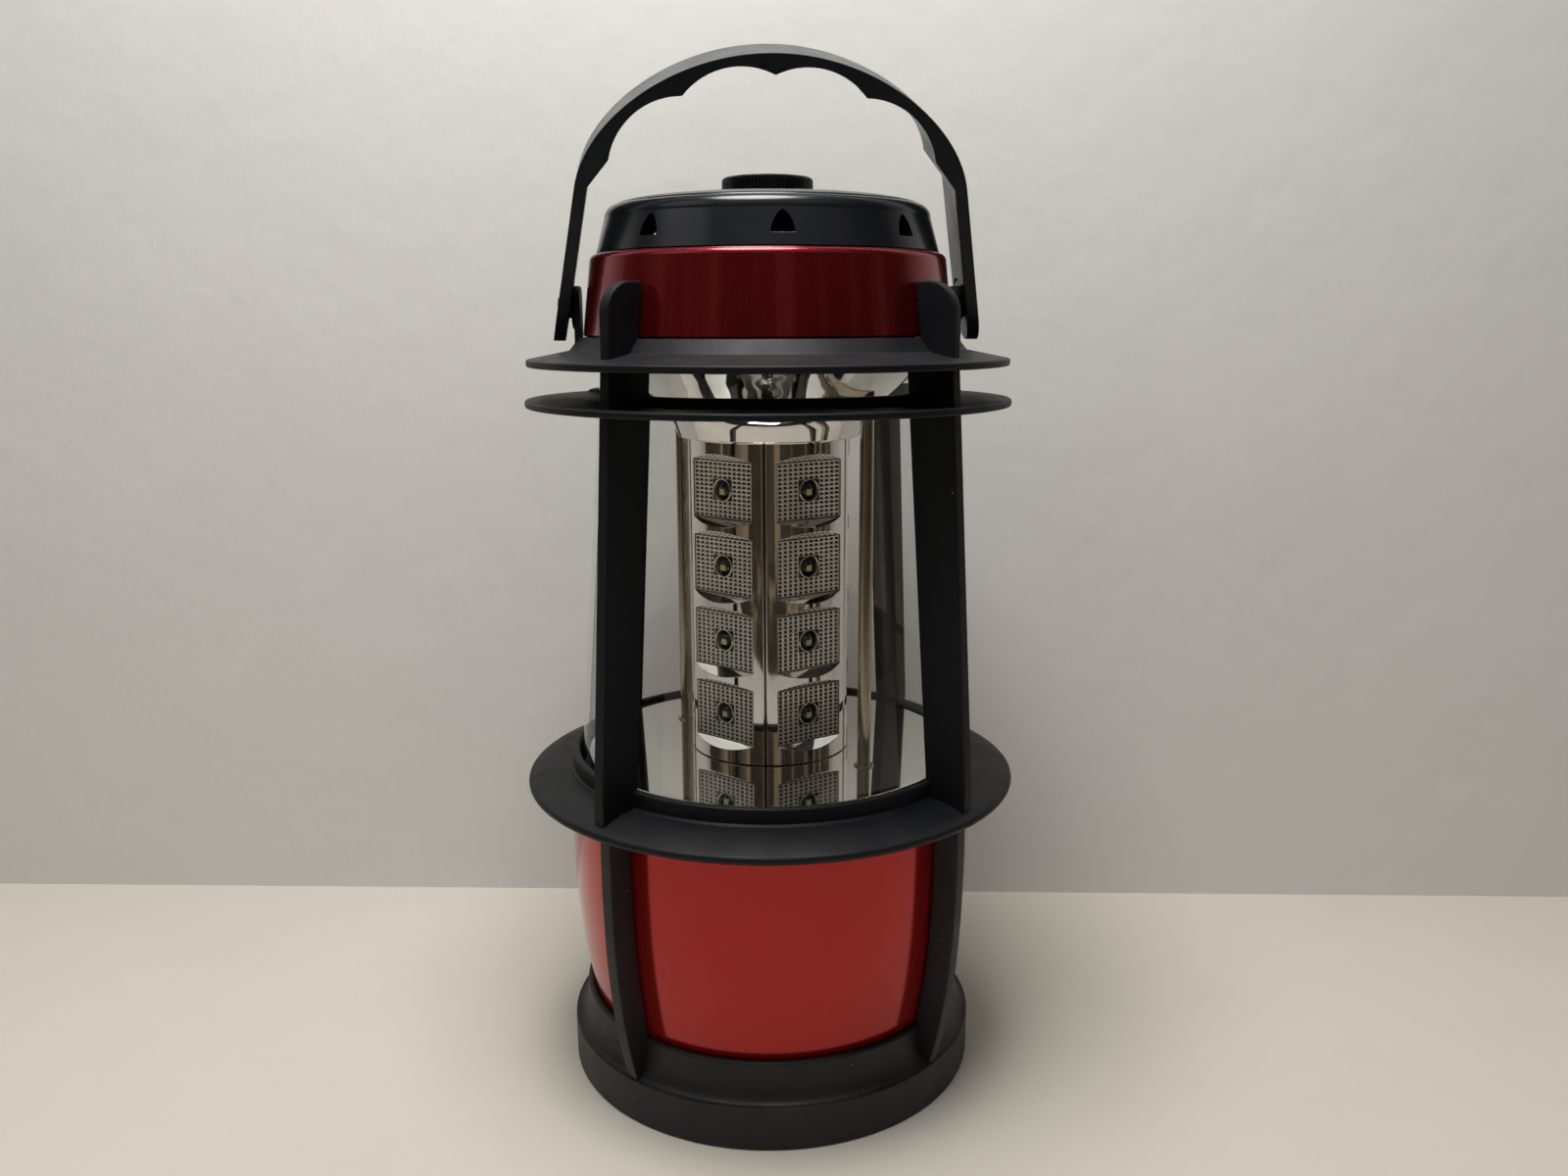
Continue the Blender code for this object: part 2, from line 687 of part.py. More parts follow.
def battery_cover(black):
    """Twist-off cover: disc with a grip bar below, collar with bayonet lugs above."""
    outline = [
        (0, COVER_RECESS),
        (cover_radius, COVER_RECESS),
        (cover_radius, cover_top),
        (cover_collar_radius, cover_top),
        (cover_collar_radius, lug_top),
        (cover_collar_inner, lug_top),
        (cover_collar_inner, cover_top),
        (0, cover_top),
    ]
    cover = piece(turned(outline, HIDDEN_FACETS), "battery_cover", black)
    lug_low = (cover_collar_radius - COVER_COLLAR_WALL / 2, -LUG_WIDTH / 2, lug_bottom)
    lug_high = (lug_radius, LUG_WIDTH / 2, lug_top - SEAT_GAP)
    lugs = [moved(block(lug_low, lug_high), about_z(angle)) for angle in round_the_axis(LUG_COUNT)]
    join(cover, gathered(lugs))
    near = COVER_GRIP_BAR / 2
    grips = []
    for side in (-1, 1):
        edges = sorted((side * near, side * (near + COVER_GRIP_WIDTH)))
        low = (-COVER_GRIP_LENGTH / 2, edges[0], COVER_RECESS - COVER_GRIP_DEPTH)
        high = (COVER_GRIP_LENGTH / 2, edges[1], COVER_RECESS + COVER_GRIP_DEPTH)
        grips.append(block(low, high))
    cut(cover, gathered(grips))


def flat_ring(name, inner, outer, low, high, material):
    outline = [(inner, low), (outer, low), (outer, high), (inner, high)]
    piece(turned(outline, HIDDEN_FACETS), name, material)


def cell_angles():
    return round_the_axis(CELL_COUNT, math.pi / CELL_COUNT)


def battery_holder(white):
    """Cartridge: a cup whose web block has a bore for each dry cell."""
    holder = piece(rod(holder_radius, holder_bottom, holder_top, HIDDEN_FACETS), "battery_holder", white)
    floor_top = holder_bottom + HOLDER_FLOOR
    chamber = rod(holder_radius - HOLDER_WALL, floor_top, cell_floor + SLIDE_GAP, HIDDEN_FACETS)
    bores = [moved(rod(cell_bore, floor_top + CONTACT_THICKNESS, holder_top + HOLDER_FLOOR),
                   on_circle(cell_orbit, angle)) for angle in cell_angles()]
    cut(holder, chamber, gathered(bores))


def dry_cell(index, angle, grey):
    """One cell. Odd ones stand on a spring with the nub up, even ones stand on the nub."""
    body = CELL_LENGTH - CELL_NUB_HEIGHT
    outline = [
        (0, 0),
        (CELL_RADIUS, 0),
        (CELL_RADIUS, body),
        (CELL_NUB_RADIUS, body),
        (CELL_NUB_RADIUS, CELL_LENGTH),
        (0, CELL_LENGTH),
    ]
    floor = raised_cell_floor
    if index % 2 == 0:
        outline = [(radius, CELL_LENGTH - height) for radius, height in outline]
        floor = cell_floor
    place = on_circle(cell_orbit, angle) @ at(0, 0, floor)
    piece(moved(turned(outline, MIDDLE_FACETS), place), f"dry_cell_{index}", grey)


def cell_spring(index, angle, steel):
    """Conical coil under an odd cell, or above an even one."""
    points = []
    steps = round(SPRING_TURNS * SPRING_STEPS)
    climb = SPRING_HEIGHT - 2 * SPRING_WIRE_RADIUS
    for step in range(steps + 1):
        share = step / steps
        turn = 2 * math.pi * step / SPRING_STEPS
        radius = SPRING_BASE_RADIUS + (SPRING_TIP_RADIUS - SPRING_BASE_RADIUS) * share
        height = SPRING_WIRE_RADIUS + climb * share
        points.append(Vector((radius * math.cos(turn), radius * math.sin(turn), height)))
    place = on_circle(cell_orbit, angle) @ at(0, 0, cell_floor)
    if index % 2 == 0:
        place = on_circle(cell_orbit, angle) @ at(0, 0, contact_board_bottom - SEAT_GAP) @ TURNED_OVER
    piece(moved(wire_along(points, SPRING_WIRE_RADIUS), place), f"cell_spring_{index}", steel)


def wire_along(points, radius):
    """A wire through points that climb round Z."""
    bm = bmesh.new()
    rings = []
    last = len(points) - 1
    for index, point in enumerate(points):
        along = (points[min(index + 1, last)] - points[max(index - 1, 0)]).normalized()
        outward = Vector((point.x, point.y, 0)).normalized()
        side = along.cross(outward).normalized()
        outward = side.cross(along)
        ring = []
        for angle in round_the_axis(WIRE_SIDES, math.pi / WIRE_SIDES):
            ring.append(bm.verts.new(point + radius * (math.cos(angle) * outward + math.sin(angle) * side)))
        rings.append(ring)
    for low, high in zip(rings, rings[1:]):
        for index in range(WIRE_SIDES):
            after = (index + 1) % WIRE_SIDES
            bm.faces.new((low[index], low[after], high[after], high[index]))
    bm.faces.new(rings[0])
    bm.faces.new(rings[-1])
    return bm


def cell_contact(index, side, brass):
    """Plate that bridges the two cells on one side."""
    reach = cell_orbit * math.sin(math.pi / CELL_COUNT)
    low = (-reach - CONTACT_OVERHANG, side * reach - CONTACT_WIDTH / 2, contact_bottom)
    high = (reach + CONTACT_OVERHANG, side * reach + CONTACT_WIDTH / 2, contact_top)
    piece(block(low, high), f"cell_contact_{index}", brass)


def base_pieces(black, red, white, grey, steel, brass, green, rubber):
    lower_guard(black)
    base_shell(red)
    battery_cover(black)
    flat_ring("cover_gasket", shell_mouth + SEAT_GAP, cover_radius - SEAT_GAP,
              cover_top + SEAT_GAP, shell_bottom - SEAT_GAP, rubber)
    battery_holder(white)
    for index, angle in enumerate(cell_angles(), 1):
        dry_cell(index, angle, grey)
        cell_spring(index, angle, steel)
    cell_contact(1, 1, brass)
    cell_contact(2, -1, brass)
    board = rod(holder_radius, contact_board_bottom, contact_board_top, HIDDEN_FACETS)
    piece(board, "contact_board", green)
    for index, angle in enumerate(foot_screw_angles(), 1):
        foot_screw(index, angle, steel)


# Globe and what stands in it


def base_deck(black):
    """Closes the base, carries the globe and mirror, and holds the cartridge down with its skirt."""
    riser_inner = deck_riser_radius - DECK_RISER_WALL
    outline = [
        (0, deck_underside),
        (holder_radius - SKIRT_WALL, deck_underside),
        (holder_radius - SKIRT_WALL, skirt_bottom),
        (holder_radius, skirt_bottom),
        (holder_radius, deck_underside),
        (riser_inner, deck_underside),
        (riser_inner, guard_seat),
        (deck_radius, guard_seat),
        (deck_radius, deck_flange_top),
        (deck_riser_radius, deck_flange_top),
        (deck_riser_radius, deck_top),
        (0, deck_top),
    ]
    deck = piece(turned(outline, HIDDEN_FACETS), "base_deck", black)
    cut(deck, gathered(rod_holes(deck_underside - DECK_PLATE, deck_top + DECK_PLATE)))
    # Room in the skirt for the lower nuts and the leads below them
    nut_room = rod_holes(skirt_bottom - SLIDE_GAP, deck_underside - SEAT_GAP / 2, NUT_RADIUS + SLIDE_GAP)
    cut(deck, gathered(nut_room))


def bottom_mirror(chrome):
    radius = globe_outer(mirror_bottom) - GLOBE_WALL - SLIDE_GAP
    mirror = piece(rod(radius, mirror_bottom, mirror_top, BIG_FACETS), "bottom_mirror", chrome)
    cut(mirror, gathered(rod_holes(mirror_bottom - DECK_PLATE, mirror_top + DECK_PLATE)))


def globe(clear):
    outline = [
        (globe_radius - GLOBE_WALL, globe_bottom),
        (globe_radius, globe_bottom),
        (globe_top_radius, globe_top),
        (globe_top_radius - GLOBE_WALL, globe_top),
    ]
    piece(turned(outline), "globe", clear)


def globe_seals(rubber):
    flat_ring("globe_seal_lower", deck_riser_radius + SEAT_GAP, deck_radius - GLOBE_SEAL_INSET,
              globe_seal_bottom, globe_bottom - SEAT_GAP, rubber)
    flat_ring("globe_seal_upper", globe_top_radius - GLOBE_WALL, globe_top_radius,
              upper_seal_bottom, housing_bottom - SEAT_GAP, rubber)


def top_reflector(chrome):
    """Bright bowl over the tower: a small foot, a flared wall and an upright rim under the housing."""
    foot = [
        (TOWER_RADIUS + SLIDE_GAP, bowl_foot - BOWL_LIP),
        (TOWER_RADIUS + SLIDE_GAP + BOWL_FOOT_WIDTH, bowl_foot),
    ]
    flare_start = (foot[1][0] + BOWL_FOOT_FLARE, bowl_foot + BOWL_FOOT_HEIGHT)
    flare_end = (bowl_rim_radius, bowl_rim_top - BOWL_RIM_HEIGHT)
    flare = []
    for step in range(GENTLE_STEPS + 1):
        share = step / GENTLE_STEPS
        radius = flare_start[0] + (flare_end[0] - flare_start[0]) * share
        height = flare_start[1] + (flare_end[1] - flare_start[1]) * share**BOWL_CURVE
        flare.append((radius, height))
    outer = foot + flare + [(bowl_rim_radius, bowl_rim_top)]
    inner = [(bowl_rim_radius - BOWL_WALL, bowl_rim_top)]
    for radius, height in reversed(flare):
        inner.append((radius - BOWL_WALL, height + BOWL_WALL / 2))
    inner.append((foot[0][0] + BOWL_WALL / 2, bowl_foot + BOWL_WALL))
    eye = [(BOWL_EYE, bowl_foot + BOWL_WALL), (BOWL_EYE, bowl_foot), (foot[0][0], bowl_foot)]
    bowl = piece(turned(outer + inner + eye), "top_reflector", chrome)
    cut(bowl, gathered(rod_holes(bowl_foot, bowl_rim_top)))


def tie_rods(nickel, steel, wire):
    """Hollow rods that tie the deck to the housing floor, with a nut at each end and a lead inside."""
    low = deck_underside - ROD_END
    high = housing_floor_top + ROD_END
    tube = [(ROD_BORE, low), (ROD_RADIUS, low), (ROD_RADIUS, high), (ROD_BORE, high)]
    nut_floors = (deck_underside - SEAT_GAP - NUT_HEIGHT, housing_floor_top + SEAT_GAP)
    nut_count = 0
    for index, angle in enumerate(rod_angles(), 1):
        place = on_circle(rod_orbit, angle)
        piece(moved(turned(tube, SMALL_FACETS), place), f"tie_rod_{index}", nickel)
        lead = rod(LEAD_RADIUS, contact_board_top + SEAT_GAP, board_bottom - SEAT_GAP, SMALL_FACETS)
        piece(moved(lead, place), f"lead_wire_{index}", wire)
        for floor in nut_floors:
            nut_count += 1
            body = rod(NUT_RADIUS, floor, floor + NUT_HEIGHT, NUT_SIDES)
            nut = piece(moved(body, place), f"rod_nut_{nut_count}", steel)
            hole = rod(ROD_RADIUS + SEAT_GAP, floor - NUT_HEIGHT, floor + 2 * NUT_HEIGHT, SMALL_FACETS)
            cut(nut, moved(hole, place))


# Light tower


def column_angles():
    return round_the_axis(TOWER_COLUMNS, TOWER_TURN)


def row_heights():
    first = tower_bottom + TOWER_END_BAND + row_pitch / 2
    return [first + row_pitch * row for row in range(TOWER_ROWS)]


def reflector_segment(index, angle, chrome):
    """One bright fifth of the tower, with a sloped window for each lens pad."""
    half = column_half_angle - SEGMENT_SIDE_GAP
    section = arc((0, 0), (TOWER_RADIUS, TOWER_RADIUS), -half, half, ROUND_STEPS)
    corner = segment_back * math.tan(half)
    section += [(segment_back, corner), (segment_back, -corner)]
    body = moved(prism(section, tower_bottom, tower_top), about_z(angle) @ STOOD_UP)
    segment = piece(body, f"reflector_segment_{index}", chrome)
    past_front = TOWER_RADIUS + POCKET_DEPTH
    flare = pane_half_height + (past_front - pane_plane) * POCKET_SLOPE
    past_back = segment_back - POCKET_DEPTH
    windows = []
    for height in row_heights():
        outline = [
            (past_back, height - pane_half_height),
            (pane_plane, height - pane_half_height),
            (past_front, height - flare),
            (past_front, height + flare),
            (pane_plane, height + pane_half_height),
            (past_back, height + pane_half_height),
        ]
        windows.append(moved(prism(outline, -pocket_half_width, pocket_half_width), about_z(angle)))
    cut(segment, gathered(windows))


def lens_strip(index, angle, clear):
    """Clear plate behind one segment, with a pad in each window and a hole for each light."""
    plate_front = segment_back - SEAT_GAP
    plate_back = plate_front - LENS_PLATE
    half = plate_back * math.tan(column_half_angle) - SLIDE_GAP
    low = (plate_back, -half, tower_bottom + SLIDE_GAP)
    high = (plate_front, half, tower_top - SLIDE_GAP)
    strip = piece(moved(block(low, high), about_z(angle)), f"lens_strip_{index}", clear)
    pad_half = pocket_half_width - SEAT_GAP
    pad_rise = pane_half_height - SEAT_GAP
    pads = []
    holes = []
    for height in row_heights():
        pad_low = (plate_front - LENS_PLATE / 2, -pad_half, height - pad_rise)
        pad_high = (pane_plane, pad_half, height + pad_rise)
        pads.append(moved(block(pad_low, pad_high), about_z(angle)))
        hole = moved(rod(LED_RADIUS + SEAT_GAP, strip_front, TOWER_RADIUS, SMALL_FACETS), LAID_ALONG_X)
        holes.append(moved(hole, about_z(angle) @ at(0, 0, height)))
    join(strip, gathered(pads))
    cut(strip, gathered(holes))


def led_strip(index, angle, green):
    """Circuit strip with its soldered domed lights."""
    half = strip_back * math.tan(column_half_angle) - SLIDE_GAP
    low = (strip_back, -half, tower_bottom + TOWER_END_BAND)
    high = (strip_front, half, tower_top - TOWER_END_BAND)
    strip = piece(moved(block(low, high), about_z(angle)), f"led_strip_{index}", green)
    tip = pane_plane + LED_PROUD
    outline = [
        (0, strip_front - STRIP_THICKNESS / 2),
        (LED_RADIUS, strip_front - STRIP_THICKNESS / 2),
        (LED_RADIUS, tip - LED_RADIUS),
        (LED_RADIUS * math.cos(math.pi / 4), tip - LED_RADIUS * (1 - math.sin(math.pi / 4))),
        (0, tip),
    ]
    lights = []
    for height in row_heights():
        light = moved(turned(outline, SMALL_FACETS), LAID_ALONG_X)
        lights.append(moved(light, about_z(angle) @ at(0, 0, height)))
    join(strip, gathered(lights))


def light_tower(chrome, clear, green, white):
    outer = core_apothem / math.cos(column_half_angle)
    inner = (core_apothem - CORE_WALL) / math.cos(column_half_angle)
    core = [(inner, tower_bottom), (outer, tower_bottom), (outer, tower_top), (inner, tower_top)]
    piece(moved(turned(core, TOWER_COLUMNS), about_z(TOWER_TURN + column_half_angle)), "led_core", white)
    for index, angle in enumerate(column_angles(), 1):
        reflector_segment(index, angle, chrome)
        lens_strip(index, angle, clear)
        led_strip(index, angle, green)


# Upper guard


def upper_guard(black):
    """Cage moulding: mid flange, four posts with fins, two brims and the two bail ears."""
    guard = piece(turned(flange_outline()), "upper_guard", black)
    join(guard, gathered([moved(post(), about_z(angle)) for angle in rib_angles()]))
    join(guard, turned(lower_brim_outline()), turned(brim_outline()))
    for turn in (0, math.pi):
        join(guard, moved(ear(), about_z(turn)), moved(pivot(), about_z(turn)))


def flange_outline():
    rim = FLANGE_RIM_THICKNESS / 2
    nose = arc((flange_radius - rim, guard_seat + rim), (rim, rim), -math.pi / 2, math.pi / 3, ROUND_STEPS)
    crown = []
    start = nose[-1]
    for step in range(1, GENTLE_STEPS + 1):
        share = step / GENTLE_STEPS
        radius = start[0] + (collar_radius - start[0]) * share
        crown.append((radius, start[1] + (flange_crown_top - start[1]) * (1 - (1 - share) ** 2)))
    collar = [(collar_radius, collar_top), (collar_inner, collar_top), (collar_inner, guard_seat)]
    return nose + crown + collar


def brim_outline():
    rim_top = brim_bottom + BRIM_RIM_THICKNESS
    return [
        (brim_inner, brim_bottom),
        (brim_radius - BRIM_EDGE, brim_bottom),
        (brim_radius, brim_bottom + BRIM_EDGE),
        (brim_radius, rim_top - BRIM_EDGE),
        (brim_radius - BRIM_EDGE, rim_top),
        (brim_cone_radius, rim_top + BRIM_CONE_RISE),
        (brim_collar_radius, brim_collar_top),
        (brim_collar_inner, brim_collar_top),
        (brim_collar_inner, brim_ledge_top),
        (brim_inner, brim_ledge_top),
    ]


def lower_brim_outline():
    inner = globe_outer(lower_brim_bottom) + POST_GLOBE_GAP / 2
    collar = inner + LOWER_BRIM_COLLAR_WALL
    return [
        (inner, lower_brim_bottom),
        (lower_brim_radius - BRIM_EDGE, lower_brim_bottom),
        (lower_brim_radius, lower_brim_bottom + BRIM_EDGE),
        (lower_brim_radius, lower_brim_top - BRIM_EDGE),
        (lower_brim_radius - BRIM_EDGE, lower_brim_top),
        (collar + LOWER_BRIM_COLLAR_RISE, lower_brim_top + BRIM_EDGE),
        (collar, lower_brim_collar_top),
        (inner, lower_brim_collar_top),
    ]


def post():
    """One post from the mid flange to the rounded fin beside the red band."""
    low = guard_seat + FLANGE_RIM_THICKNESS / 2
    inside_brim = brim_ledge_top - BRIM_THICKNESS / 2
    wall_middle = brim_collar_inner + BRIM_COLLAR_WALL / 2
    inner = [
        (globe_outer(low) + POST_GLOBE_GAP, low),
        (globe_outer(inside_brim) + POST_GLOBE_GAP, inside_brim),
        (wall_middle, inside_brim + BRIM_THICKNESS / 4),
        (wall_middle, brim_collar_top - SLIDE_GAP),
        (band_outer(band_bottom) + SLIDE_GAP, brim_collar_top + SLIDE_GAP),
        (band_outer(fin_top) + SLIDE_GAP, fin_top),
    ]
    corner_centre = (fin_radius - FIN_CORNER, fin_top - FIN_CORNER)
    corner = arc(corner_centre, (FIN_CORNER, FIN_CORNER), math.pi / 2, 0, ROUND_STEPS)
    outer = [(post_top_radius, brim_bottom), (post_foot_radius, collar_top), (post_foot_radius, low)]
    return prism(inner + corner + outer, -POST_THICKNESS / 2, POST_THICKNESS / 2)


def ear():
    """Upright lug on the brim collar that carries one end of the bail."""
    low = brim_ledge_top + SLIDE_GAP
    high = brim_collar_top + EAR_HEIGHT
    half = EAR_WIDTH / 2
    corner_centre = (-half + EAR_CORNER, high - EAR_CORNER)
    left = arc(corner_centre, (EAR_CORNER, EAR_CORNER), math.pi, math.pi / 2, GENTLE_STEPS)
    right = [(-y, z) for y, z in reversed(left)]
    outline = [(half, low), (-half, low), *left, *right]
    return moved(prism(outline, -ear_outer, -ear_inner), about_z(math.pi / 2))


def pivot():
    """Pin and boss of one ear, along +X."""
    outline = [
        (0, ear_inner + EAR_THICKNESS / 2),
        (PIVOT_BOSS_RADIUS, ear_inner + EAR_THICKNESS / 2),
        (PIVOT_BOSS_RADIUS, boss_face),
        (PIVOT_PIN_RADIUS, boss_face),
        (PIVOT_PIN_RADIUS, arm_outer),
        (0, arm_outer),
    ]
    return moved(turned(outline, MIDDLE_FACETS), at(0, 0, pivot_z) @ LAID_ALONG_X)


# Top housing, cap and dimmer


def board_screw_angles():
    return round_the_axis(BOARD_SCREW_COUNT, BOARD_SCREW_TURN)


def top_housing(red):
    fillet_centre = (cap_radius, housing_top - BAND_FILLET)
    fillet = arc(fillet_centre, (BAND_FILLET, BAND_FILLET), 0, math.pi / 2, GENTLE_STEPS)
    outline = [
        (0, housing_bottom),
        (housing_skirt_radius, housing_bottom),
        (housing_skirt_radius, band_bottom),
        (band_radius, band_bottom),
        *fillet,
        (cap_radius - HOUSING_WALL, housing_top),
        (cap_radius - HOUSING_WALL, housing_top - BAND_FILLET),
        (band_radius - HOUSING_WALL - HOUSING_SHOULDER, housing_floor_top),
        (0, housing_floor_top),
    ]
    housing = piece(turned(outline), "top_housing", red)
    bosses = [moved(rod(BOSS_RADIUS, housing_floor_top - HOUSING_FLOOR / 2, boss_top, SMALL_FACETS),
                    on_circle(board_screw_orbit, angle)) for angle in board_screw_angles()]
    join(housing, gathered(bosses))
    pilot_low = boss_top - SCREW_GRIP
    pilots = screw_holes(pilot_low, boss_top + SCREW_GRIP, board_screw_orbit, board_screw_angles())
    below_floor = housing_bottom - HOUSING_FLOOR
    above_floor = housing_floor_top + HOUSING_FLOOR
    eye = rod(BOWL_EYE, below_floor, above_floor, SMALL_FACETS)
    cut(housing, gathered(pilots + rod_holes(below_floor, above_floor) + [eye]))


def vent_cap(black):
    shoulder = cap_radius - CAP_SIDE_DRAFT
    edge = shoulder - CAP_CORNER_WIDTH
    corner = arc((edge, cap_shoulder), (CAP_CORNER_WIDTH, CAP_CORNER_HEIGHT), 0, math.pi / 2, GENTLE_STEPS)
    crown = arc((0, cap_crown_edge), (edge, CAP_CROWN), 0, math.pi / 2, GENTLE_STEPS)[1:-1]
    crown.append((cap_eye, cap_top))
    inside = [(radius, height - CAP_WALL) for radius, height in reversed(crown)]
    inside += [
        (edge - CAP_WALL / 2, cap_crown_edge - CAP_WALL),
        (shoulder - CAP_WALL, cap_shoulder - CAP_WALL / 2),
        (spigot_radius - CAP_WALL, cap_bottom + CAP_WALL),
    ]
    spigot = [
        (spigot_radius - CAP_WALL, cap_bottom - CAP_SPIGOT),
        (spigot_radius, cap_bottom - CAP_SPIGOT),
        (spigot_radius, cap_bottom),
    ]
    cap = piece(turned([(cap_radius, cap_bottom)] + corner + crown + inside + spigot), "vent_cap", black)
    cut(cap, gathered([moved(vent(), about_z(angle)) for angle in round_the_axis(VENT_COUNT)]))


def vent():
    """Cutter for one bullet-shaped vent in the cap's side."""
    sill = cap_bottom + VENT_SILL
    half = VENT_WIDTH / 2
    arch = arc((0, sill + VENT_STRAIGHT), (half, VENT_HEIGHT - VENT_STRAIGHT), 0, math.pi, 2 * GENTLE_STEPS)
    outline = [(-half, sill), (half, sill)] + arch
    return prism(outline, -cap_radius - CAP_WALL, -spigot_radius + 3 * CAP_WALL)


def dimmer_board(green):
    board = piece(rod(BOARD_RADIUS, board_bottom, board_top), "dimmer_board", green)
    below = board_bottom - BOARD_THICKNESS
    above = board_top + BOARD_THICKNESS
    cut(board, gathered(screw_holes(below, above, board_screw_orbit, board_screw_angles())))


def board_screw(index, angle, steel):
    over = at(0, 0, board_top + SEAT_GAP + SCREW_HEAD_HEIGHT) @ TURNED_OVER
    piece(moved(screw_shape(0), on_circle(board_screw_orbit, angle) @ over), f"board_screw_{index}", steel)


def potentiometer(grey):
    floor = pot_top - SHAFT_FOOT - SEAT_GAP
    outline = [
        (0, pot_bottom),
        (POT_RADIUS, pot_bottom),
        (POT_RADIUS, pot_top),
        (bush_radius, pot_top),
        (bush_radius, bush_top),
        (shaft_bore, bush_top),
        (shaft_bore, floor),
        (0, floor),
    ]
    piece(turned(outline, MIDDLE_FACETS), "potentiometer", grey)


def dimmer_knob(black):
    """Low knurled knob whose stem reaches through the cap to the potentiometer's shaft."""
    rim = []
    for index in range(2 * KNURL_COUNT):
        radius = KNOB_RADIUS - KNURL_DEPTH * (index % 2)
        angle = math.pi * index / KNURL_COUNT
        rim.append((radius * math.cos(angle), radius * math.sin(angle)))
    bm = bmesh.new()
    low = [bm.verts.new((x, y, knob_bottom)) for x, y in rim]
    high = [bm.verts.new((x, y, knob_top - KNOB_CROWN)) for x, y in rim]
    inset = 1 - 2 * KNOB_CROWN / KNOB_RADIUS
    crown = [bm.verts.new((x * inset, y * inset, knob_top)) for x, y in rim]
    for lower, upper in ((low, high), (high, crown)):
        for index in range(len(rim)):
            after = (index + 1) % len(rim)
            bm.faces.new((lower[index], lower[after], upper[after], upper[index]))
    bm.faces.new(list(reversed(low)))
    bm.faces.new(crown)
    knob = piece(bm, "dimmer_knob", black)
    stem_bottom = bush_top + SEAT_GAP
    join(knob, rod(stem_radius, stem_bottom, knob_bottom + KNOB_CROWN))
    cut(knob, rod(shaft_bore, stem_bottom - SLIDE_GAP, knob_bore_top))


def top_pieces(black, gloss_black, red, green, grey, steel):
    upper_guard(black)
    top_housing(red)
    vent_cap(gloss_black)
    dimmer_board(green)
    for index, angle in enumerate(board_screw_angles(), 1):
        board_screw(index, angle, steel)
    potentiometer(grey)
    piece(rod(SHAFT_RADIUS, pot_top - SHAFT_FOOT, knob_bore_top - SEAT_GAP), "pot_shaft", steel)
    dimmer_knob(gloss_black)
    bail_handle(black)


# Bail


def half_width(height, wall=0.0):
    """Half the bail's width at a height above the pivot, less a wall: both arms lean in."""
    return arm_outer - wall - height * math.tan(ARM_LEAN_IN)


def strap_outside():
    """Right half of the outer line, from the tail up to the crown: a straight arm and a full shoulder."""
    tail = -BAIL_DEPTH / 2
    points = [(half_width(tail), tail)]
    for step in range(2 * ROUND_STEPS):
        angle = math.pi / 2 * step / (2 * ROUND_STEPS)
        height = BAIL_SHOULDER + (BAIL_RISE - BAIL_SHOULDER) * math.sin(angle)
        points.append((half_width(height) * math.cos(angle), height))
    return points


def scallop_centre(number):
    """Centre of one finger scallop, counted from the crown to the right."""
    turn = math.pi / 2 - SCALLOP_SPAN * (number + 0.5)
    orbit = BAIL_RISE - SCALLOP_THIN - SCALLOP_RADIUS - SCALLOP_DROP * number
    return Vector((orbit * math.cos(turn), orbit * math.sin(turn)))


def cusp(first, second):
    """Upper point where the circles of two scallops meet."""
    across = (second - first) / 2
    upwards = Vector((-across.y, across.x)).normalized()
    return first + across + upwards * math.sqrt(SCALLOP_RADIUS**2 - across.length_squared)


def strap_inside():
    """Right half of the inner line, from the crown down to the tail: round finger scallops, then the arm."""
    centres = [scallop_centre(number) for number in range(SCALLOPS_PER_SIDE)]
    before = [Vector((-centres[0].x, centres[0].y))] + centres
    starts = [cusp(first, second) - second for first, second in zip(before, centres)]
    ends = [cusp(first, second) - first for first, second in zip(centres, centres[1:])]
    turns = [math.atan2(end.y, end.x) for end in ends] + [SCALLOP_END]
    points = [(0, cusp(before[0], centres[0]).y)]
    for centre, start, turn in zip(centres, starts, turns):
        from_turn = math.atan2(start.y, start.x)
        points += arc(centre, (SCALLOP_RADIUS, SCALLOP_RADIUS), from_turn, turn, ROUND_STEPS)[1:]
    for height in (BAIL_SHOULDER, -BAIL_DEPTH / 2):
        points.append((half_width(height, BAIL_THICKNESS), height))
    return points


def mirrored(points):
    return [(-x, z) for x, z in reversed(points)]


def tail_corners():
    """Cutter that rounds the tails of both arms, seen along X."""
    half = BAIL_DEPTH / 2
    past = half + BAIL_THICKNESS
    round_end = arc((0, 0), (half, half), math.pi, 2 * math.pi, 2 * ROUND_STEPS + 1)
    outline = [(-past, 0), *round_end, (past, 0), (past, -past), (-past, -past)]
    return moved(prism(outline, -arm_outer - past, arm_outer + past), about_z(math.pi / 2))


def pivot_room():
    """Cutter that leaves room for one ear with its boss and pin, along Z."""
    pin_room = PIVOT_PIN_RADIUS + SEAT_GAP
    boss_room = PIVOT_BOSS_RADIUS + SEAT_GAP
    ear_reach = math.hypot(EAR_WIDTH / 2 - EAR_CORNER, EAR_HEIGHT - EAR_CORNER - PIVOT_HEIGHT) + EAR_CORNER
    ear_room = max(ear_reach, PIVOT_BOSS_RADIUS) + SLIDE_GAP
    ear_step = ear_outer + SLIDE_GAP
    boss_step = boss_face + SEAT_GAP
    past = arm_outer + EAR_THICKNESS
    outline = [
        (0, 0),
        (ear_room, 0),
        (ear_room, ear_step),
        (boss_room, ear_step),
        (boss_room, boss_step),
        (pin_room, boss_step),
        (pin_room, past),
        (0, past),
    ]
    return turned(outline, MIDDLE_FACETS)


